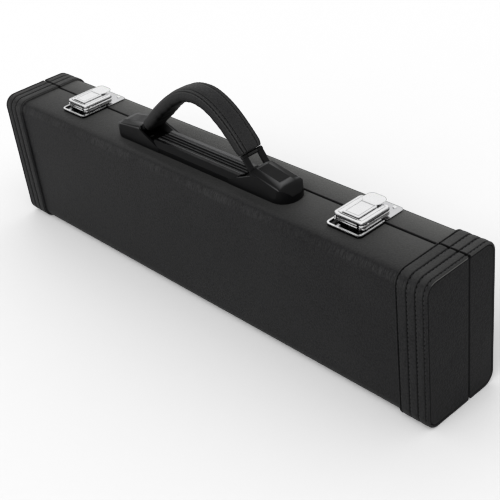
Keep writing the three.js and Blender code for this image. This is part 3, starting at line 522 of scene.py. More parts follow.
def newSweep(name, vertices, rings, closing, material, smoothAngle, shades):
    # quads from each ring of points to the next, closed by "loop", "cap" or "sharpCap"
    total = len(vertices)
    count = total // rings
    faces = []
    for ring in range(rings if closing == "loop" else rings - 1):
        for i in range(count):
            a, b = ring * count + i, ring * count + (i + 1) % count
            faces.append((a, b, (b + count) % total, (a + count) % total))
    first, last = tuple(range(count)), tuple(range(total - count, total))
    if closing == "cap":
        faces += [first[::-1], last]
    if closing == "sharpCap":
        # a cap that is wound the wrong way has sharp edges, and facesOut then turns it round
        faces += [first, last[::-1]]
    piece = newPiece(name, vertices, faces, material, smoothAngle, shades)
    facesOut(piece)
    return piece


def bakeModifiers(piece):
    # the evaluated mesh takes the place of the modifiers
    graph = bpy.context.evaluated_depsgraph_get()
    shaped = piece.evaluated_get(graph)
    baked = bpy.data.meshes.new_from_object(shaped, preserve_all_data_layers=True, depsgraph=graph)
    baked.name = piece.name
    piece.modifiers.clear()
    piece.data = baked


def growFrom(piece, tree, inputs):
    # inputs are set by their sockets' identifiers, and the tree's result becomes a plain mesh
    modifier = piece.modifiers.new(tree.name, "NODES")
    modifier.node_group = tree
    for item in tree.interface.items_tree:
        if item.item_type == "SOCKET" and item.in_out == "INPUT" and item.name in inputs:
            modifier[item.identifier] = inputs[item.name]
    bakeModifiers(piece)


def growPiece(name, points, edges, tree, inputs):
    mesh = bpy.data.meshes.new(name)
    mesh.from_pydata(points, edges, [])
    piece = addObject(name, mesh)
    growFrom(piece, tree, inputs)
    return piece


def endTree(tree, instances, material, out):
    real = addNode(tree, "GeometryNodeRealizeInstances", {"Geometry": instances[0]})
    smooth = addNode(tree, "GeometryNodeSetShadeSmooth", {"Geometry": real[0]})
    finished = addNode(tree, "GeometryNodeSetMaterial", {"Geometry": smooth[0], "Material": material})
    tree.links.new(finished[0], out["Geometry"])
    return tree


def settle(piece, body, slot, *nodes):
    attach(piece, body)
    if nodes:
        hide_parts(*nodes)


def roundRim(work, radius):
    # the leather turns in over the parting edge of the board with a wider round
    top, reach = case["height"] - case["wrapProud"], case["rim"] * 1.5
    edges = []
    for edge in work.edges:
        spots = [v.co for v in edge.verts]
        level = all(abs(spot.z - top) < meshing["samePlane"] for spot in spots)
        if level and all(abs(spot.y - case["partingY"]) < reach for spot in spots):
            edges.append(edge)
    segments = meshing["rimSegments"]
    bmesh.ops.bevel(work, geom=edges, offset=radius, segments=segments, profile=0.5, affect="EDGES")


def cutFaces(work, cuts):
    # a face with holes is cut through each of them, cuts are (axis, place)
    for axis, place in cuts:
        spot, normal = Vector((0.0, 0.0, 0.0)), Vector((0.0, 0.0, 0.0))
        spot[axis] = place
        normal[axis] = 1.0
        parts = work.verts[:] + work.edges[:] + work.faces[:]
        slack = meshing["cutSlack"]
        made = bmesh.ops.bisect_plane(work, geom=parts, dist=slack, plane_co=spot, plane_no=normal)
        for part in made["geom_cut"]:
            if isinstance(part, bmesh.types.BMEdge):
                part.seam = True


def softenedCopy(nodeName, name, material, bevelWidth, segments=2, rimRadius=0.0, cuts=()):
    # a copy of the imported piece, merged, with its hard edges rounded
    work = bmesh.new()
    work.from_mesh(frame["nodes"][nodeName].data)
    bmesh.ops.remove_doubles(work, verts=work.verts, dist=meshing["samePoint"])
    cutFaces(work, cuts)
    flat = radians(meshing["flatAngle"])
    bmesh.ops.dissolve_limit(work, angle_limit=flat, verts=work.verts, edges=work.edges, delimit={"SEAM"})
    bmesh.ops.recalc_face_normals(work, faces=work.faces)
    if rimRadius:
        roundRim(work, rimRadius)
    work.verts.index_update()
    vertices = [v.co.copy() for v in work.verts]
    faces = [[v.index for v in face.verts] for face in work.faces]
    work.free()
    piece = newPiece(name, vertices, faces, material)
    bevel = piece.modifiers.new("roundedEdges", "BEVEL")
    bevel.width = bevelWidth
    bevel.segments = segments
    bevel.limit_method = "ANGLE"
    bevel.angle_limit = radians(meshing["bevelAngle"])
    bevel.miter_outer = "MITER_ARC"
    weighted = piece.modifiers.new("evenShading", "WEIGHTED_NORMAL")
    weighted.keep_sharp = True
    bakeModifiers(piece)
    return piece


def shadePiece(piece, shadeAt):
    # shadeAt gives each vertex of a bmesh its shade, above zero painted shade and below zero painted
    # light
    work = bmesh.new()
    work.from_mesh(piece.data)
    work.normal_update()
    shades = [shadeAt(v) for v in work.verts]
    work.free()
    piece.data.attributes.new("shade", "FLOAT", "POINT").data.foreach_set("value", shades)


# ---- camera
camera = {
    "place": (0.5035, -0.3837, 0.4302),
    "forward": (-0.6534, 0.5307, -0.5399),
    "up": (-0.3333, 0.4388, 0.8345),
    "lens": 76.06,
}


def addCamera():
    data = bpy.data.cameras.new("camera")
    data.lens = camera["lens"]
    data.clip_start = 0.01
    data.clip_end = 20
    viewer = addObject("camera", data)
    ahead = Vector(camera["forward"]).normalized()
    right = ahead.cross(Vector(camera["up"])).normalized()
    top = right.cross(ahead)
    turn = Matrix((right, top, -ahead)).transposed().to_4x4()
    viewer.matrix_world = Matrix.Translation(camera["place"]) @ turn
    bpy.context.scene.camera = viewer


addCamera()
print("camera placed")

# ---- end wraps, each swept along half of the case's section
wrapShape = {
    "width": 0.022,
    "seams": (
        # distance from the middle of the case, half width and depth of the groove
        (0.18925, 0.0006, 0.0010),
        (0.1962, 0.00085, 0.0009),
        (0.2024, 0.00085, 0.0009),
        (0.2080, 0.0008, 0.0007),
    ),
    # where points lie, as shares of a panel, of a groove and of the bead at the end
    "crownShares": (0.12, 0.3, 0.5, 0.7, 0.88),
    "grooveShares": (-1.0, -0.6, -0.3, 0.0, 0.3, 0.6, 1.0),
    "beadShares": (0.2, 0.45, 0.7, 0.85, 1.0),
    "beadDrop": 0.95,
    "crown": 0.00015,
    "lip": 0.0017,
    "lipGap": 0.0004,
    "foldRadius": 0.0006,
    "foldSteps": 4,
    "buried": 0.0015,
    "rimRadius": 0.001,
    "rimSteps": 5,
    "arcSteps": 14,
    "stepLength": 0.0008,
    "unevenness": 0.0001,
    "unevenPerMetre": (260, 120, 120),
    "pucker": 0.3,
    # shades: a top painted paler as sheen, and a painted highlight line on the arris, which is so far
    # from the end and so deep
    "paintedSheen": {"body": 0.13, "lid": 0.2},
    "edgeHighlight": 0.7,
    "arris": 0.0011,
    "arrisDepth": (0.0008, 0.0016),
    "darkDepth": 0.0005,
}
wrapStitch = {
    "Pitch": 0.0030,
    "Stitch length": 0.0023,
    "Thread radius": 0.0003,
    "Lean": 0.09,
    "Thread": blackThread,
}
stitchDepth = 0.86
stitchSeed = 11


def halfPath(half):
    # (y, z, outward normal) round the outside of one half, from its rim to its foot
    shape, side, depth = wrapShape, halves[half]["side"], halves[half]["depth"]
    radius, top, rim, rimRadius = case["edgeRadius"], case["height"], case["rim"], shape["rimRadius"]
    foot = rim + case["chamfer"]
    path = []

    def straight(start, finish, normal):
        count = max(int(dist(start, finish) / shape["stepLength"]), 1)
        for step in range(count):
            reach, z = (a + (b - a) * step / count for a, b in zip(start, finish))
            path.append((reach, z, *normal))

    def arc(reach, z, size, start, steps):
        for step in range(steps):
            angle = radians(start - 90 * step / steps)
            out, up = cos(angle), sin(angle)
            path.append((reach + size * out, z + size * up, out, up))

    arc(rim + rimRadius, top - rimRadius, rimRadius, 180, shape["rimSteps"])
    straight((rim + rimRadius, top), (depth - radius, top), (0, 1))
    arc(depth - radius, top - radius, radius, 90, shape["arcSteps"])
    straight((depth, top - radius), (depth, radius), (1, 0))
    arc(depth - radius, radius, radius, 0, shape["arcSteps"])
    straight((depth - radius, 0), (foot, 0), (0, -1))
    path.append((foot, 0, 0, -1))
    return [(case["partingY"] + side * reach, z, side * out, up) for reach, z, out, up in path]


def pathLengths(path):
    lengths = [0.0]
    for a, b in zip(path, path[1:]):
        lengths.append(lengths[-1] + dist(a[:2], b[:2]))
    return lengths


def wrapProfile():
    # (distance from the middle of the case, depth under the wrap's outer face, seam weight)
    shape = wrapShape
    end = case["length"] / 2
    inner = end - shape["width"]
    fold, crown = shape["foldRadius"], shape["crown"]
    profile = [(inner + 0.00005, shape["buried"], 0.0)]
    for step in range(shape["foldSteps"] + 1):
        angle = radians(180 - 90 * step / shape["foldSteps"])
        profile.append((inner + fold + fold * cos(angle), fold - fold * sin(angle), 0.0))
    start = inner + fold
    for seam, half, depth in shape["seams"]:
        wide = seam - half - start
        if wide > 0.001:
            for share in shape["crownShares"]:
                profile.append((start + wide * share, crown * (abs(share - 0.5) * 2) ** 2, 0.0))
        for share in shape["grooveShares"]:
            sunk = (cos(pi * share) + 1) / 2
            profile.append((seam + half * share, crown + depth * sunk, sunk * depth))
        start = seam + half
    bead = end - start
    for share in shape["beadShares"]:
        angle = radians(90 * share)
        drop = crown + bead * shape["beadDrop"] * (1 - cos(angle))
        profile.append((start + bead * sin(angle), drop, 0.0))
    edge, rim = end - shape["lipGap"], end - case["endRim"] - shape["lipGap"]
    profile += [
        (end - 0.0001, shape["lip"] * 0.88, 0.0),
        (edge, shape["lip"], 0.0),
        (rim, shape["lip"], 0.0),
        (rim, shape["buried"], 0.0),
    ]
    return profile


def chamferReach(height):
    return case["rim"] + max(case["chamfer"] - height, 0.0)


def makeWrap(half, endName):
    shape, side, endSide = wrapShape, halves[half]["side"], ends[endName]
    path = halfPath(half)
    lengths = pathLengths(path)
    profile = wrapProfile()
    arris = case["length"] / 2 - shape["arris"]
    shallow, deepest = shape["arrisDepth"]
    vertices, shades = [], []
    for i, (y, z, ny, nz) in enumerate(path):
        pull = cos(2 * pi * lengths[i] / wrapStitch["Pitch"])
        # painted light and shade: the top painted paler as sheen, a painted highlight on the arris, and
        # painted shade in the rim's turn and the seams' grooves
        paintedSheen = shape["paintedSheen"][half] * max(0.0, nz - 0.7) / 0.3
        for x, deep, seam in profile:
            paintedLight = half == "body" and nz > 0.9 and x > arris and shallow < deep < deepest
            inRim = i < shape["rimSteps"] - 1
            dark = 1.0 if inRim else min(seam / shape["darkDepth"], 1.0) ** 1.5
            shades.append(-shape["edgeHighlight"] if paintedLight else dark - paintedSheen * (1 - dark))
            sunk = deep + seam * shape["pucker"] * pull * 0.5
            if deep < shape["buried"] - 0.0001:
                spot = Vector(a * b for a, b in zip((x, y, z), shape["unevenPerMetre"]))
                sunk += noise.noise(spot) * shape["unevenness"]
            vy, vz = y - ny * sunk, max(z - nz * sunk, 0.0)
            if i == len(path) - 1:
                vy = case["partingY"] + side * chamferReach(vz)
            vertices.append((endSide * x, vy, vz))
    name = half + "WrapPadded_" + endName
    piece = newSweep(name, vertices, len(path), "sharpCap", wrapLeather, 50, shades)
    settle(piece, half, "leatherette", half + "_wrap_" + endName)
    sewWrap(half, endName, path)


# ---- stitches: one tree lays them along any seam
def makeStitchTree():
    sizes = dict.fromkeys(("Pitch", "Stitch length", "Thread radius", "Lean"), "Float")
    tree, given, out = newTree("stitchesAlongSeams", {**sizes, "Seed": "Int", "Thread": "Material"})
    curve = addNode(tree, "GeometryNodeMeshToCurve", {"Mesh": given["Geometry"]})
    spacing = {"Curve": curve[0], "Length": given["Pitch"]}
    spaced = addNode(tree, "GeometryNodeResampleCurve", spacing, mode="LENGTH")
    bead = addNode(tree, "GeometryNodeMeshUVSphere", {"Segments": 6, "Rings": 5})
    radius, lean = given["Thread radius"], given["Lean"]
    size = addVector(tree, radius, radius, addMath(tree, "MULTIPLY", given["Stitch length"], 0.5))
    stitch = addNode(tree, "GeometryNodeTransform", {"Geometry": bead["Mesh"], "Scale": size})
    tangent = addNode(tree, "GeometryNodeInputTangent")[0]
    aligned = addNode(tree, "FunctionNodeAlignRotationToVector", {"Vector": tangent}, axis="Z")
    back = addMath(tree, "MULTIPLY", lean, -1.0)
    leaning = {
        "Min": addVector(tree, back, back, back),
        "Max": addVector(tree, lean, lean, lean),
        "Seed": given["Seed"],
    }
    leant = addNode(tree, "FunctionNodeRandomValue", leaning, data_type="FLOAT_VECTOR")
    turning = {"Rotation": aligned[0], "Rotate By": leant[0]}
    turned = addNode(tree, "FunctionNodeRotateRotation", turning, rotation_space="LOCAL")
    laying = {"Points": spaced[0], "Instance": stitch[0], "Rotation": turned[0]}
    laid = addNode(tree, "GeometryNodeInstanceOnPoints", laying)
    return endTree(tree, laid, given["Thread"], out)


stitchTree = makeStitchTree()


def sewSeams(name, seams, body, look, seed):
    # seams are lines of points, and the tree turns them into stitches
    vertices, edges = [], []
    for seam in seams:
        first = len(vertices)
        vertices += [tuple(p) for p in seam]
        edges += [(first + i, first + i + 1) for i in range(len(seam) - 1)]
    piece = growPiece(name, vertices, edges, stitchTree, dict(look, Seed=seed))
    settle(piece, body, "leatherette")


def sewWrap(half, endName, path):
    run = path[wrapShape["rimSteps"] + 1:-2]
    seams = []
    for x, _, depth in wrapShape["seams"]:
        deep = wrapShape["crown"] + depth * stitchDepth
        seams.append([(ends[endName] * x, y - ny * deep, z - nz * deep) for y, z, ny, nz in run])
    seed = stitchSeed + len(half) + len(endName)
    sewSeams(half + "WrapStitches_" + endName, seams, half, wrapStitch, seed)


for half in halves:
    for endName in ends:
        makeWrap(half, endName)
print("wraps sewn")

# ---- covers, panels and lining
shellLook = {
    "cover": 0.0005,
    "rim": 0.00092,
    "panel": 0.0007,
    "lining": 0.0012,
    # (axis, place) of planes through the open side and through every bay
    "coverCuts": ((0, 0.0011), (2, 0.0523)),
    "liningCuts": ((0, 0.0011), (0, 0.1163), (2, 0.0281), (2, 0.0662), (2, 0.0904)),
}
paintedCoverLight = {
    # painted sheen on top of each half: shade at the parting, and how it changes per metre from there
    "lid": (-0.24, -22.0),
    "body": (-0.36, -9.0),
    "depth": 0.0012,
    # from what height the painted shade at the parting rim is used, and its least strength
    "darkFrom": 0.1,
    "darkLeast": 0.15,
}


def paintedTopSheen(spot):
    # painted sheen: the leather on top is painted paler, most of all on the lid
    if spot.z < case["height"] - case["wrapProud"] - paintedCoverLight["depth"]:
        return 0.0
    fromParting = spot.y - case["partingY"]
    shade, slope = paintedCoverLight["lid" if fromParting > 0 else "body"]
    return min(0.0, shade + slope * fromParting)


def rimShade(vertex):
    # painted shade: the leather is painted darkest where it turns in at the parting; elsewhere it takes
    # the top's painted sheen
    away = abs(vertex.co.y - case["partingY"]) - case["rim"]
    dark = min(1.0, 1.1 - away / shellLook["rim"])
    if vertex.co.z >= paintedCoverLight["darkFrom"] and dark > paintedCoverLight["darkLeast"]:
        return dark
    return paintedTopSheen(vertex.co)


def makeShell(half, part, name, material, slot, bevel, rimRadius=0.0, cuts=()):
    node = half + part
    piece = softenedCopy(node, half + name, material, bevel, 3, rimRadius=rimRadius, cuts=cuts)
    if rimRadius:
        shadePiece(piece, rimShade)
    settle(piece, half, slot, node)


for half in halves:
    makeShell(
        half, "_cover", "CoverSkin", leatherette, "leatherette",
        shellLook["cover"], shellLook["rim"], shellLook["coverCuts"],
    )
    bevel, cuts = shellLook["lining"], shellLook["liningCuts"]
    makeShell(half, "_lining", "LiningPile", plush, "plush", bevel, cuts=cuts)
    for endName in ends:
        part, name = "_end_panel_" + endName, "EndPanelSkin_" + endName
        makeShell(half, part, name, shadedPanelLeather, "leatherette", shellLook["panel"])
print("covers and lining made")

# ---- handle strap
strap = {
    "start": (-0.0488, 0.1166),
    "finish": (0.0508, 0.1254),
    "slopes": (42.6, 51.6),
    "reach": (0.0551, 0.0603),
    "centreY": -0.0054,
    "halfWidth": 0.0089,
    "halfThickness": 0.0046,
    "steps": 170,
    "upperSteps": 72,
    "upperEdge": 0.995,
    "underSteps": 30,
    "underShape": (0.35, 0.6, 0.97),
    "upper": (
        # share of the half width, share of the half thickness
        (0.0, 1.0), (0.3, 0.98), (0.5, 0.9), (0.58, 0.66), (0.66, 0.84), (0.74, 0.87), (0.81, 0.78),
        (0.86, 0.54), (0.91, 0.66), (0.96, 0.52), (1.0, 0.1),
    ),
    "grooves": (0.58, 0.86),
    # as shares of the half width: reach of a groove's painted shade, and its ridge's painted highlight
    "grooveReach": 0.045,
    "ridge": (0.05, 0.09),
    "ridgeShade": 0.12,
    "sewnFrom": 0.5,
    "unsewnSteps": 6,
    "pinch": 0.16,
    "pinchSteps": 4,
    "wrinkle": 0.0006,
    "wrinklesPerMetre": (320, 60),
    "wander": 0.00012,
    "wanderPerMetre": (90, 240),
    "stitchPull": 0.00006,
    "underShade": 0.88,
    "creaseShade": 0.6,
}
strapStitch = {
    "Pitch": 0.0028,
    "Stitch length": 0.0021,
    "Thread radius": 0.00026,
    "Lean": 0.08,
    "Thread": blackThread,
}
strapSeed = 29


def strapFrames():
    # (point, outward direction) along the middle of the strap
    start, finish = (Vector((x, 0, z)) for x, z in (strap["start"], strap["finish"]))
    up, down = (radians(slope) for slope in strap["slopes"])
    rise = Vector((cos(up), 0, sin(up)))
    fall = Vector((-cos(down), 0, sin(down)))
    a, b, c, d = start, start + rise * strap["reach"][0], finish + fall * strap["reach"][1], finish
    frames = []
    for step in range(strap["steps"] + 1):
        t = step / strap["steps"]
        u = 1 - t
        point = a * u ** 3 + b * 3 * u * u * t + c * 3 * u * t * t + d * t ** 3
        along = ((b - a) * 3 * u * u + (c - b) * 6 * u * t + (d - c) * 3 * t * t).normalized()
        frames.append((point, Vector((-along.z, 0, along.x))))
    return frames


def strapHeight(share):
    # the padded outer face, crowned, with two sewn grooves near each edge
    table = strap["upper"]
    share = min(abs(share), 1.0)
    for (x0, h0), (x1, h1) in zip(table, table[1:]):
        if share <= x1:
            eased = (1 - cos(pi * (share - x0) / (x1 - x0))) / 2
            return (h0 + (h1 - h0) * eased) * strap["halfThickness"]
    return 0.0


def strapSection():
    # (sideways, outwards, how much a stitch pulls it in, how much it wrinkles)
    width, thick = strap["halfWidth"], strap["halfThickness"]
    steps, edge = strap["upperSteps"], strap["upperEdge"]
    outline = []
    for i in range(steps + 1):
        share = edge * (2 * i / steps - 1)
        sewn = abs(share) > strap["sewnFrom"]
        outline.append((share * width, strapHeight(share), float(sewn), 0.0))
    squareness, fullness, depth = strap["underShape"]
    for step in range(1, strap["underSteps"]):
        angle = pi * step / strap["underSteps"]
        out = copysign(abs(cos(angle)) ** squareness, cos(angle))
        down = sin(angle) ** fullness
        outline.append((out * width, -thick * depth * down, 0.0, down))
    return outline


# painted shade in the sewn grooves, with a painted highlight on the ridge beside each, and painted shade
# on the underside and in its creases
def strapShade(side, sewn, loose, wrinkle):
    near = min(abs(abs(side) / strap["halfWidth"] - groove) for groove in strap["grooves"])
    if sewn:
        low, high = strap["ridge"]
        ridge = strap["ridgeShade"] if low < near < high else 0.0
        return max(0.0, 1 - near / strap["grooveReach"]) - ridge
    crease = max(0.0, wrinkle) * strap["creaseShade"]
    return min(1.0, loose ** 0.5 * strap["underShade"] + crease)


def makeStrap():
    frames = strapFrames()
    section = strapSection()
    lastStep = len(frames) - 1
    along, across = strap["wrinklesPerMetre"]
    slow, quick = strap["wanderPerMetre"]
    vertices, shades = [], []
    travelled, previous = 0.0, frames[0][0]
    for step, (point, out) in enumerate(frames):
        travelled += (point - previous).length
        previous = point
        pull = cos(2 * pi * travelled / strapStitch["Pitch"]) * strap["stitchPull"]
        fromEnd = min(step, lastStep - step) / strap["pinchSteps"]
        pinch = strap["pinch"] * max(0.0, 1 - fromEnd) ** 2
        for side, high, sewn, loose in section:
            wrinkle = noise.noise(Vector((travelled * along, side * across, 3.7))) * loose
            wander = noise.noise(Vector((point.x * slow, side * quick, point.z * slow)))
            moved = wander * strap["wander"] + wrinkle * strap["wrinkle"] - sewn * pull
            spot = point + out * (high * (1 - pinch) + moved)
            vertices.append((spot.x, strap["centreY"] + side * (1 - pinch * 0.6), spot.z))
            shades.append(strapShade(side, sewn, loose, wrinkle))
    piece = newSweep("handleStrapPadded", vertices, len(frames), "sharpCap", strapLeather, 50, shades)
    settle(piece, "handle", "leatherette", "handle_strap")
    sewStrap(frames[strap["unsewnSteps"]:-strap["unsewnSteps"]])


def sewStrap(frames):
    seams = []
    for groove in strap["grooves"]:
        height = strapHeight(groove) + 0.0001
        for side in (-1, 1):
            y = strap["centreY"] + side * groove * strap["halfWidth"]
            spots = [point + out * height for point, out in frames]
            seams.append([(spot.x, y, spot.z) for spot in spots])
    sewSeams("handleStrapStitches", seams, "handle", strapStitch, strapSeed)


makeStrap()
print("strap sewn")

# ---- latches: pressed plating over the hasps and levers, with painted shade in the gaps of its steps
latch = {
    "seat": 0.1027,
    "hasp": (-0.0121, 0.0121, -0.0116, 0.0144),
    "window": (-0.0067, 0.0067, -0.0096, 0.0108),
    "pad": (-0.00633, 0.00633, -0.00808, 0.00868),
    "haspCorner": 0.0031,
    "windowCorner": 0.001,
    # slots in the front wall, where the ears of the tray pass when the hasp lifts
    "earSlot": ((0.0077, 0.00935), (-0.0135, -0.009), (0.0015, 0.0062)),
    # (axis, place) of planes through the openings of the tray
    "trayCuts": ((0, -0.1364), (0, 0.137), (1, -0.0021)),
    "cornerSteps": 6,
    "leastCorner": 0.0002,
    "haspSteps": (
        # distance in from the edge, height over the seat, painted shade in the step
        (0.001, 0.0066, 1.0), (0.001, 0.0033, 1.0), (0.0003, 0.0027, 0.8), (0.0, 0.0029, 0.0),
        (0.0, 0.0038, 0.0), (0.00022, 0.0039, 0.9), (0.00022, 0.0041, 0.9), (0.00008, 0.0042, 0.0),
        (0.00008, 0.0054, 0.0), (0.0003, 0.0057, 0.0), (0.0006, 0.0057, 0.9), (0.0007, 0.0059, 0.8),
        (0.00068, 0.0061, 0.0), (0.0007, 0.0070, 0.0), (0.00085, 0.0074, 0.0), (0.0013, 0.00762, 0.0),
        (0.0024, 0.00762, 0.0), (0.0025, 0.00755, 0.55), (0.0027, 0.00755, 0.55),
        (0.0028, 0.00762, 0.0),
    ),
    "windowSteps": (
        (-0.0004, 0.00762, 0.0), (-0.0001, 0.0075, 0.5), (0.0, 0.0071, 1.0), (-0.0003, 0.0069, 1.0),
    ),
    "padSteps": (
        (0.0002, 0.0076, 1.0), (0.0, 0.0079, 0.4), (0.0001, 0.0083, 0.0), (0.0004, 0.0085, 0.0),
        (0.0012, 0.0085, 0.0), (0.0013, 0.00842, 0.75), (0.0015, 0.00842, 0.75), (0.0016, 0.0085, 0.0),
        (0.0022, 0.00856, 0.0),
    ),
}


def loopRound(box, inset, corner, height):
    # a rectangle with round corners, drawn in from the box by the inset
    radius = max(corner - inset, latch["leastCorner"])
    inner = inset + radius
    x0, x1, y0, y1 = box[0] + inner, box[1] - inner, box[2] + inner, box[3] - inner
    loop = []
    for cx, cy, start in ((x1, y1, 0), (x0, y1, 90), (x0, y0, 180), (x1, y0, 270)):
        for step in range(latch["cornerSteps"] + 1):
            angle = radians(start + 90 * step / latch["cornerSteps"])
            loop.append((cx + radius * cos(angle), cy + radius * sin(angle), height))
    return loop


def makePlating(name, rows, closing, centreX):
    # rows of (box, corner, steps): loops one after another, joined into a ring or capped
    vertices, shades = [], []
    loops = [(box, corner, *step) for box, corner, steps in rows for step in steps]
    for box, corner, inset, height, shade in loops:
        loop = loopRound(box, inset, corner, latch["seat"] + height)
        vertices += [(centreX + x, y, z) for x, y, z in loop]
        shades += [shade] * len(loop)
    return newSweep(name, vertices, len(loops), closing, nickelPlate, 40, shades)


def cutEarSlots(piece, centreX):
    xs, ys, zs = latch["earSlot"]
    vertices, faces = [], []
    for side in (-1, 1):
        first = len(vertices)
        for x in sorted(side * value for value in xs):
            for y in ys:
                vertices += [(centreX + x, y, latch["seat"] + z) for z in zs]
        for face in ((0, 1, 3, 2), (4, 6, 7, 5), (0, 4, 5, 1), (2, 3, 7, 6), (0, 2, 6, 4), (1, 5, 7, 3)):
            faces.append([first + i for i in face])
    cutter = newPiece("earSlotCutter", vertices, faces, nickelPlate)
    facesOut(cutter)
    slotted = piece.modifiers.new("earSlots", "BOOLEAN")
    slotted.operation = "DIFFERENCE"
    slotted.solver = "EXACT"
    slotted.object = cutter
    bakeModifiers(piece)
    bpy.data.objects.remove(cutter)


for endName, x in latchX.items():
    haspRows = [
        (latch["hasp"], latch["haspCorner"], latch["haspSteps"]),
        (latch["window"], latch["windowCorner"], latch["windowSteps"]),
    ]
    haspPlating = makePlating("latchHaspPlating_" + endName, haspRows, "loop", x)
    cutEarSlots(haspPlating, x)
    settle(haspPlating, "hasp_" + endName, "chrome")
    padRows = [(latch["pad"], latch["windowCorner"], latch["padSteps"])]
    padPlating = makePlating("latchPadPlating_" + endName, padRows, "cap", x)
    settle(padPlating, "lever_" + endName, "chrome")
print("latch plating pressed")

# ---- handle base: painted highlights on its ridges and rail, and fine ribs along its channel
handleBase = {
    "middle": (0.0035, -0.0054),
    "edgeHighlight": 0.75,
    "highlightFrom": 0.1085,
    "highlightReach": 0.0815,
    "rail": (0.0055, 0.0515),
    "smallFace": 0.0008,
    "convexBy": 0.000004,
    "floor": 0.1085,
}
ribLook = {
    "Count": 4,
    "Spacing": 0.0026,
    "Plastic": handlePlastic,
}
ribShape = {
    "halfWidth": 0.0005,
    "halfLength": 0.0435,
    "rise": 0.0007,
    "sunk": 0.0004,
    "stations": (
        # share of the half length, share of the rise
        (-1.0, 0.3), (-0.992, 0.85), (-0.98, 1.0), (0.98, 1.0), (0.992, 0.85), (1.0, 0.3),
    ),
    # shade values: a painted highlight on each rib's crest, and painted shade at its foot
    "crestShade": -0.3,
    "footShade": 0.8,
}


def paintedBaseHighlights(vertex):
    # painted highlight: the rail's top and only the middle of a rounded edge are painted pale, where
    # every face round the vertex is narrow
    along = abs(vertex.co.x - handleBase["middle"][0])
    across = vertex.co.y - handleBase["middle"][1]
    if vertex.co.z < handleBase["highlightFrom"] or along > handleBase["highlightReach"]:
        return 0.0
    if across > handleBase["rail"][0] and along < handleBase["rail"][1]:
        return -1.0
    widths = [min(edge.calc_length() for edge in face.edges) for face in vertex.link_faces]
    narrow = max(widths) < handleBase["smallFace"]
    middle = sum((e.other_vert(vertex).co for e in vertex.link_edges), Vector()) / len(vertex.link_edges)
    convex = (middle - vertex.co).dot(vertex.normal) < -handleBase["convexBy"]
    return -handleBase["edgeHighlight"] if narrow and convex else 0.0


def makeRibTree():
    inputs = {"Count": "Int", "Spacing": "Float", "Plastic": "Material"}
    tree, given, out = newTree("ribsAcross", inputs)
    count, spacing = given["Count"], given["Spacing"]
    half = addMath(tree, "MULTIPLY", addMath(tree, "SUBTRACT", count, 1.0), -0.5)
    first = addVector(tree, 0.0, addMath(tree, "MULTIPLY", half, spacing), 0.0)
    lining = {"Count": count, "Start Location": first, "Offset": addVector(tree, 0.0, spacing, 0.0)}
    row = addNode(tree, "GeometryNodeMeshLine", lining)
    laying = {"Points": row[0], "Instance": given["Geometry"]}
    laid = addNode(tree, "GeometryNodeInstanceOnPoints", laying)
    return endTree(tree, laid, given["Plastic"], out)


def makeChannelRibs():
    # one rounded rib, repeated across the channel by the tree
    x, y = handleBase["middle"]
    width, rise, sunk = ribShape["halfWidth"], ribShape["rise"], ribShape["sunk"]
    section = [(-width, -sunk)]
    for degrees in range(180, -1, -30):
        angle = radians(degrees)
        section.append((width * cos(angle), rise * (0.4 + 0.6 * sin(angle))))
    section.append((width, -sunk))
    vertices, shades = [], []
    for share, tall in ribShape["stations"]:
        along = share * ribShape["halfLength"]
        for side, up in section:
            vertices.append((x + along, y + side, handleBase["floor"] + up * tall))
            crest = ribShape["crestShade"] if up > rise * 0.9 else 0.0
            shades.append(crest if up > 0 else ribShape["footShade"])
    rings = len(ribShape["stations"])
    piece = newSweep("handleChannelRibs", vertices, rings, "cap", handlePlastic, 60, shades)
    growFrom(piece, makeRibTree(), ribLook)
    settle(piece, "body", "plastic")


hardPieces = [
    # node, name, finish, slot, body, width of the rounded edge
    ("handle_base", "handleBaseMoulding", handlePlastic, "plastic", "body", 0.0009),
    ("handle_link_left", "handleLink_left", handlePlastic, "plastic", "handle", 0.0003),
    ("handle_link_right", "handleLink_right", handlePlastic, "plastic", "handle", 0.0003),
]
for end in ends:
    hardPieces += [
        ("latch_base_" + end, "latchTray_" + end, trayNickel, "chrome", "body", 0.0002),
        ("latch_hasp_" + end, "latchHasp_" + end, innerNickel, "chrome", "hasp_" + end, 0.0003),
        ("latch_lever_" + end, "latchLever_" + end, nickelPlate, "chrome", "lever_" + end, 0.00025),
        ("latch_keeper_" + end, "latchKeeper_" + end, shadedKeeperNickel, "chrome", "lid", 0.0002),
        ("hinge_body_leaf_" + end, "hingeBodyLeaf_" + end, dullSteel, "steel", "body", 0.00012),
        ("hinge_lid_leaf_" + end, "hingeLidLeaf_" + end, dullSteel, "steel", "lid", 0.00012),
    ]
for nodeName, name, material, slot, body, width in hardPieces:
    cuts = latch["trayCuts"] if "Tray" in name else ()
    segments = 4 if material == handlePlastic else 2
    piece = softenedCopy(nodeName, name, material, width, segments, cuts=cuts)
    if nodeName == "handle_base":
        shadePiece(piece, paintedBaseHighlights)
    settle(piece, body, slot, nodeName)
makeChannelRibs()
print("handle and latches made")


# ---- rivets: one tree sets a domed head on every point
def makeRivetTree():
    inputs = {"Head radius": "Float", "Head rise": "Float", "Metal": "Material"}
    tree, given, out = newTree("rivetHeads", inputs)
    dome = addNode(tree, "GeometryNodeMeshUVSphere", {"Segments": 28, "Rings": 14})
    radius = given["Head radius"]
    size = addVector(tree, radius, radius, given["Head rise"])
    head = addNode(tree, "GeometryNodeTransform", {"Geometry": dome["Mesh"], "Scale": size})
    placing = {"Points": given["Geometry"], "Instance": head[0]}
    placed = addNode(tree, "GeometryNodeInstanceOnPoints", placing)
    return endTree(tree, placed, given["Metal"], out)


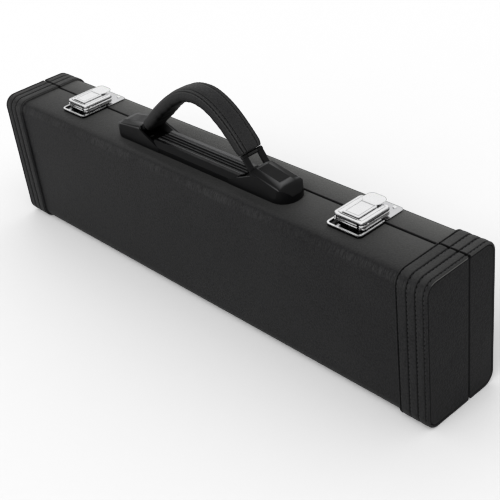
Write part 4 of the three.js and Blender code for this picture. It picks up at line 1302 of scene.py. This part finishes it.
rivetTree = makeRivetTree()
rivetRows = [
    # name, node prefix, count, body, slot, finish, head radius, rise, facing down
    ("latchTrayRivets", "latch_base_rivet_", 4, "body", "chrome", nickelPlate, 0.0014, 0.0008, False),
    ("latchKeeperRivets", "latch_keeper_rivet_", 4, "lid", "chrome", nickelPlate, 0.0014, 0.0008, False),
    ("handleRivets", "handle_rivet_", 2, "body", "steel", blackenedSteel, 0.0026, 0.0011, False),
    ("hingeBodyRivets", "hinge_rivet_body_", 4, "body", "steel", dullSteel, 0.0015, 0.0004, True),
    ("hingeLidRivets", "hinge_rivet_lid_", 4, "lid", "steel", dullSteel, 0.0015, 0.0004, True),
]


def makeRivets(name, prefix, count, body, slot, finish, radius, rise, facingDown):
    nodes = [prefix + str(i + 1) for i in range(count)]
    points = []
    for node in nodes:
        low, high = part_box(node)
        z = low.z + rise if facingDown else high.z - rise
        points.append(((low.x + high.x) / 2, (low.y + high.y) / 2, z))
    inputs = {"Head radius": radius, "Head rise": rise, "Metal": finish}
    piece = growPiece(name, points, [], rivetTree, inputs)
    settle(piece, body, slot, *nodes)


for row in rivetRows:
    makeRivets(*row)
print("rivets set")

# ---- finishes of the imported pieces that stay
keptFinishes = {"board": fibreboard, "steel": dullSteel, "chrome": nickelPlate, "plastic": handlePlastic}
slots = {row["node"]: row["material_slot"] for row in frame["record"]["subparts"]}
for nodeName, node in frame["nodes"].items():
    material = keptFinishes.get(slots[nodeName])
    # painted shade: the handle's core and pins are blackened so that they read as the dark gap under the
    # strap's ends; the latches' pins are blackened too
    if nodeName.startswith(("handle_core", "handle_link_pin", "latch_hasp_pin", "latch_lever_pin")):
        material = blackenedSteel
    if material:
        node.data.materials.clear()
        node.data.materials.append(material)
print("packed pieces finished")

# ---- studio
floorLook = {
    "tone": (0.8, 0.8, 0.8),
    "paleTone": (0.84, 0.84, 0.84),
    "mottlesPerMetre": 6.0,
    "sockets": {"Roughness": 0.8},
}
studio = {
    "floorSize": 6.0,
    "worldLevel": 0.56,
    "aim": (0, 0, 0.05),
    "lamps": (
        # name, energy, size, place
        ("frontLamp", 26, 1.6, (0.5, -1.5, 1.9)),
        ("keyLamp", 3.4, 1.8, (-0.7, 0.9, 1.6)),
        ("fillLamp", 1.6, 1.6, (-0.9, -1.7, 0.8)),
        ("topLamp", 1.4, 0.8, (0.9, -0.1, 1.6)),
        ("sideLamp", 1.6, 0.9, (-1.42, 0.66, 0.5)),
    ),
}


def addStudio():
    size = studio["floorSize"]
    corners = [(-size, -size, 0), (size, -size, 0), (size, size, 0), (-size, size, 0)]
    floor = newPiece("floor", corners, [(0, 1, 2, 3)], makeFinish("paleFloor", floorLook, mottled))
    floor.is_shadow_catcher = True
    world = bpy.data.worlds.new("studio")
    bpy.context.scene.world = world
    world.use_nodes = True
    tree = world.node_tree
    sky = tree.nodes["Background"]
    sky.inputs["Color"].default_value = (1, 1, 1, 1)
    # seen straight, in a mirror or through glass the world is white, and its light alone is weaker
    rays = addNode(tree, "ShaderNodeLightPath")
    passing = addMath(tree, "MAXIMUM", rays["Is Glossy Ray"], rays["Is Transmission Ray"])
    seen = addMath(tree, "MAXIMUM", rays["Is Camera Ray"], passing)
    tree.links.new(addRange(tree, seen, 0.0, 1.0, studio["worldLevel"], 1.0), sky.inputs["Strength"])
    for lamp in studio["lamps"]:
        addLamp(*lamp)
    bpy.context.scene.view_settings.view_transform = "Standard"


def mottled(tree, place, look):
    mottle = addNoise(tree, place, look["mottlesPerMetre"], 2.0)["Fac"]
    return {"Base Color": addMix(tree, mottle, look["tone"], look["paleTone"])}


def addLamp(name, energy, size, place):
    data = bpy.data.lights.new(name, "AREA")
    data.energy = energy
    data.size = size
    lamp = addObject(name, data)
    # the metal mirrors the even white world alone
    lamp.visible_glossy = False
    lamp.location = place
    toAim = Vector(studio["aim"]) - Vector(place)
    lamp.rotation_euler = toAim.to_track_quat("-Z", "Y").to_euler()


addStudio()
print("studio lit")
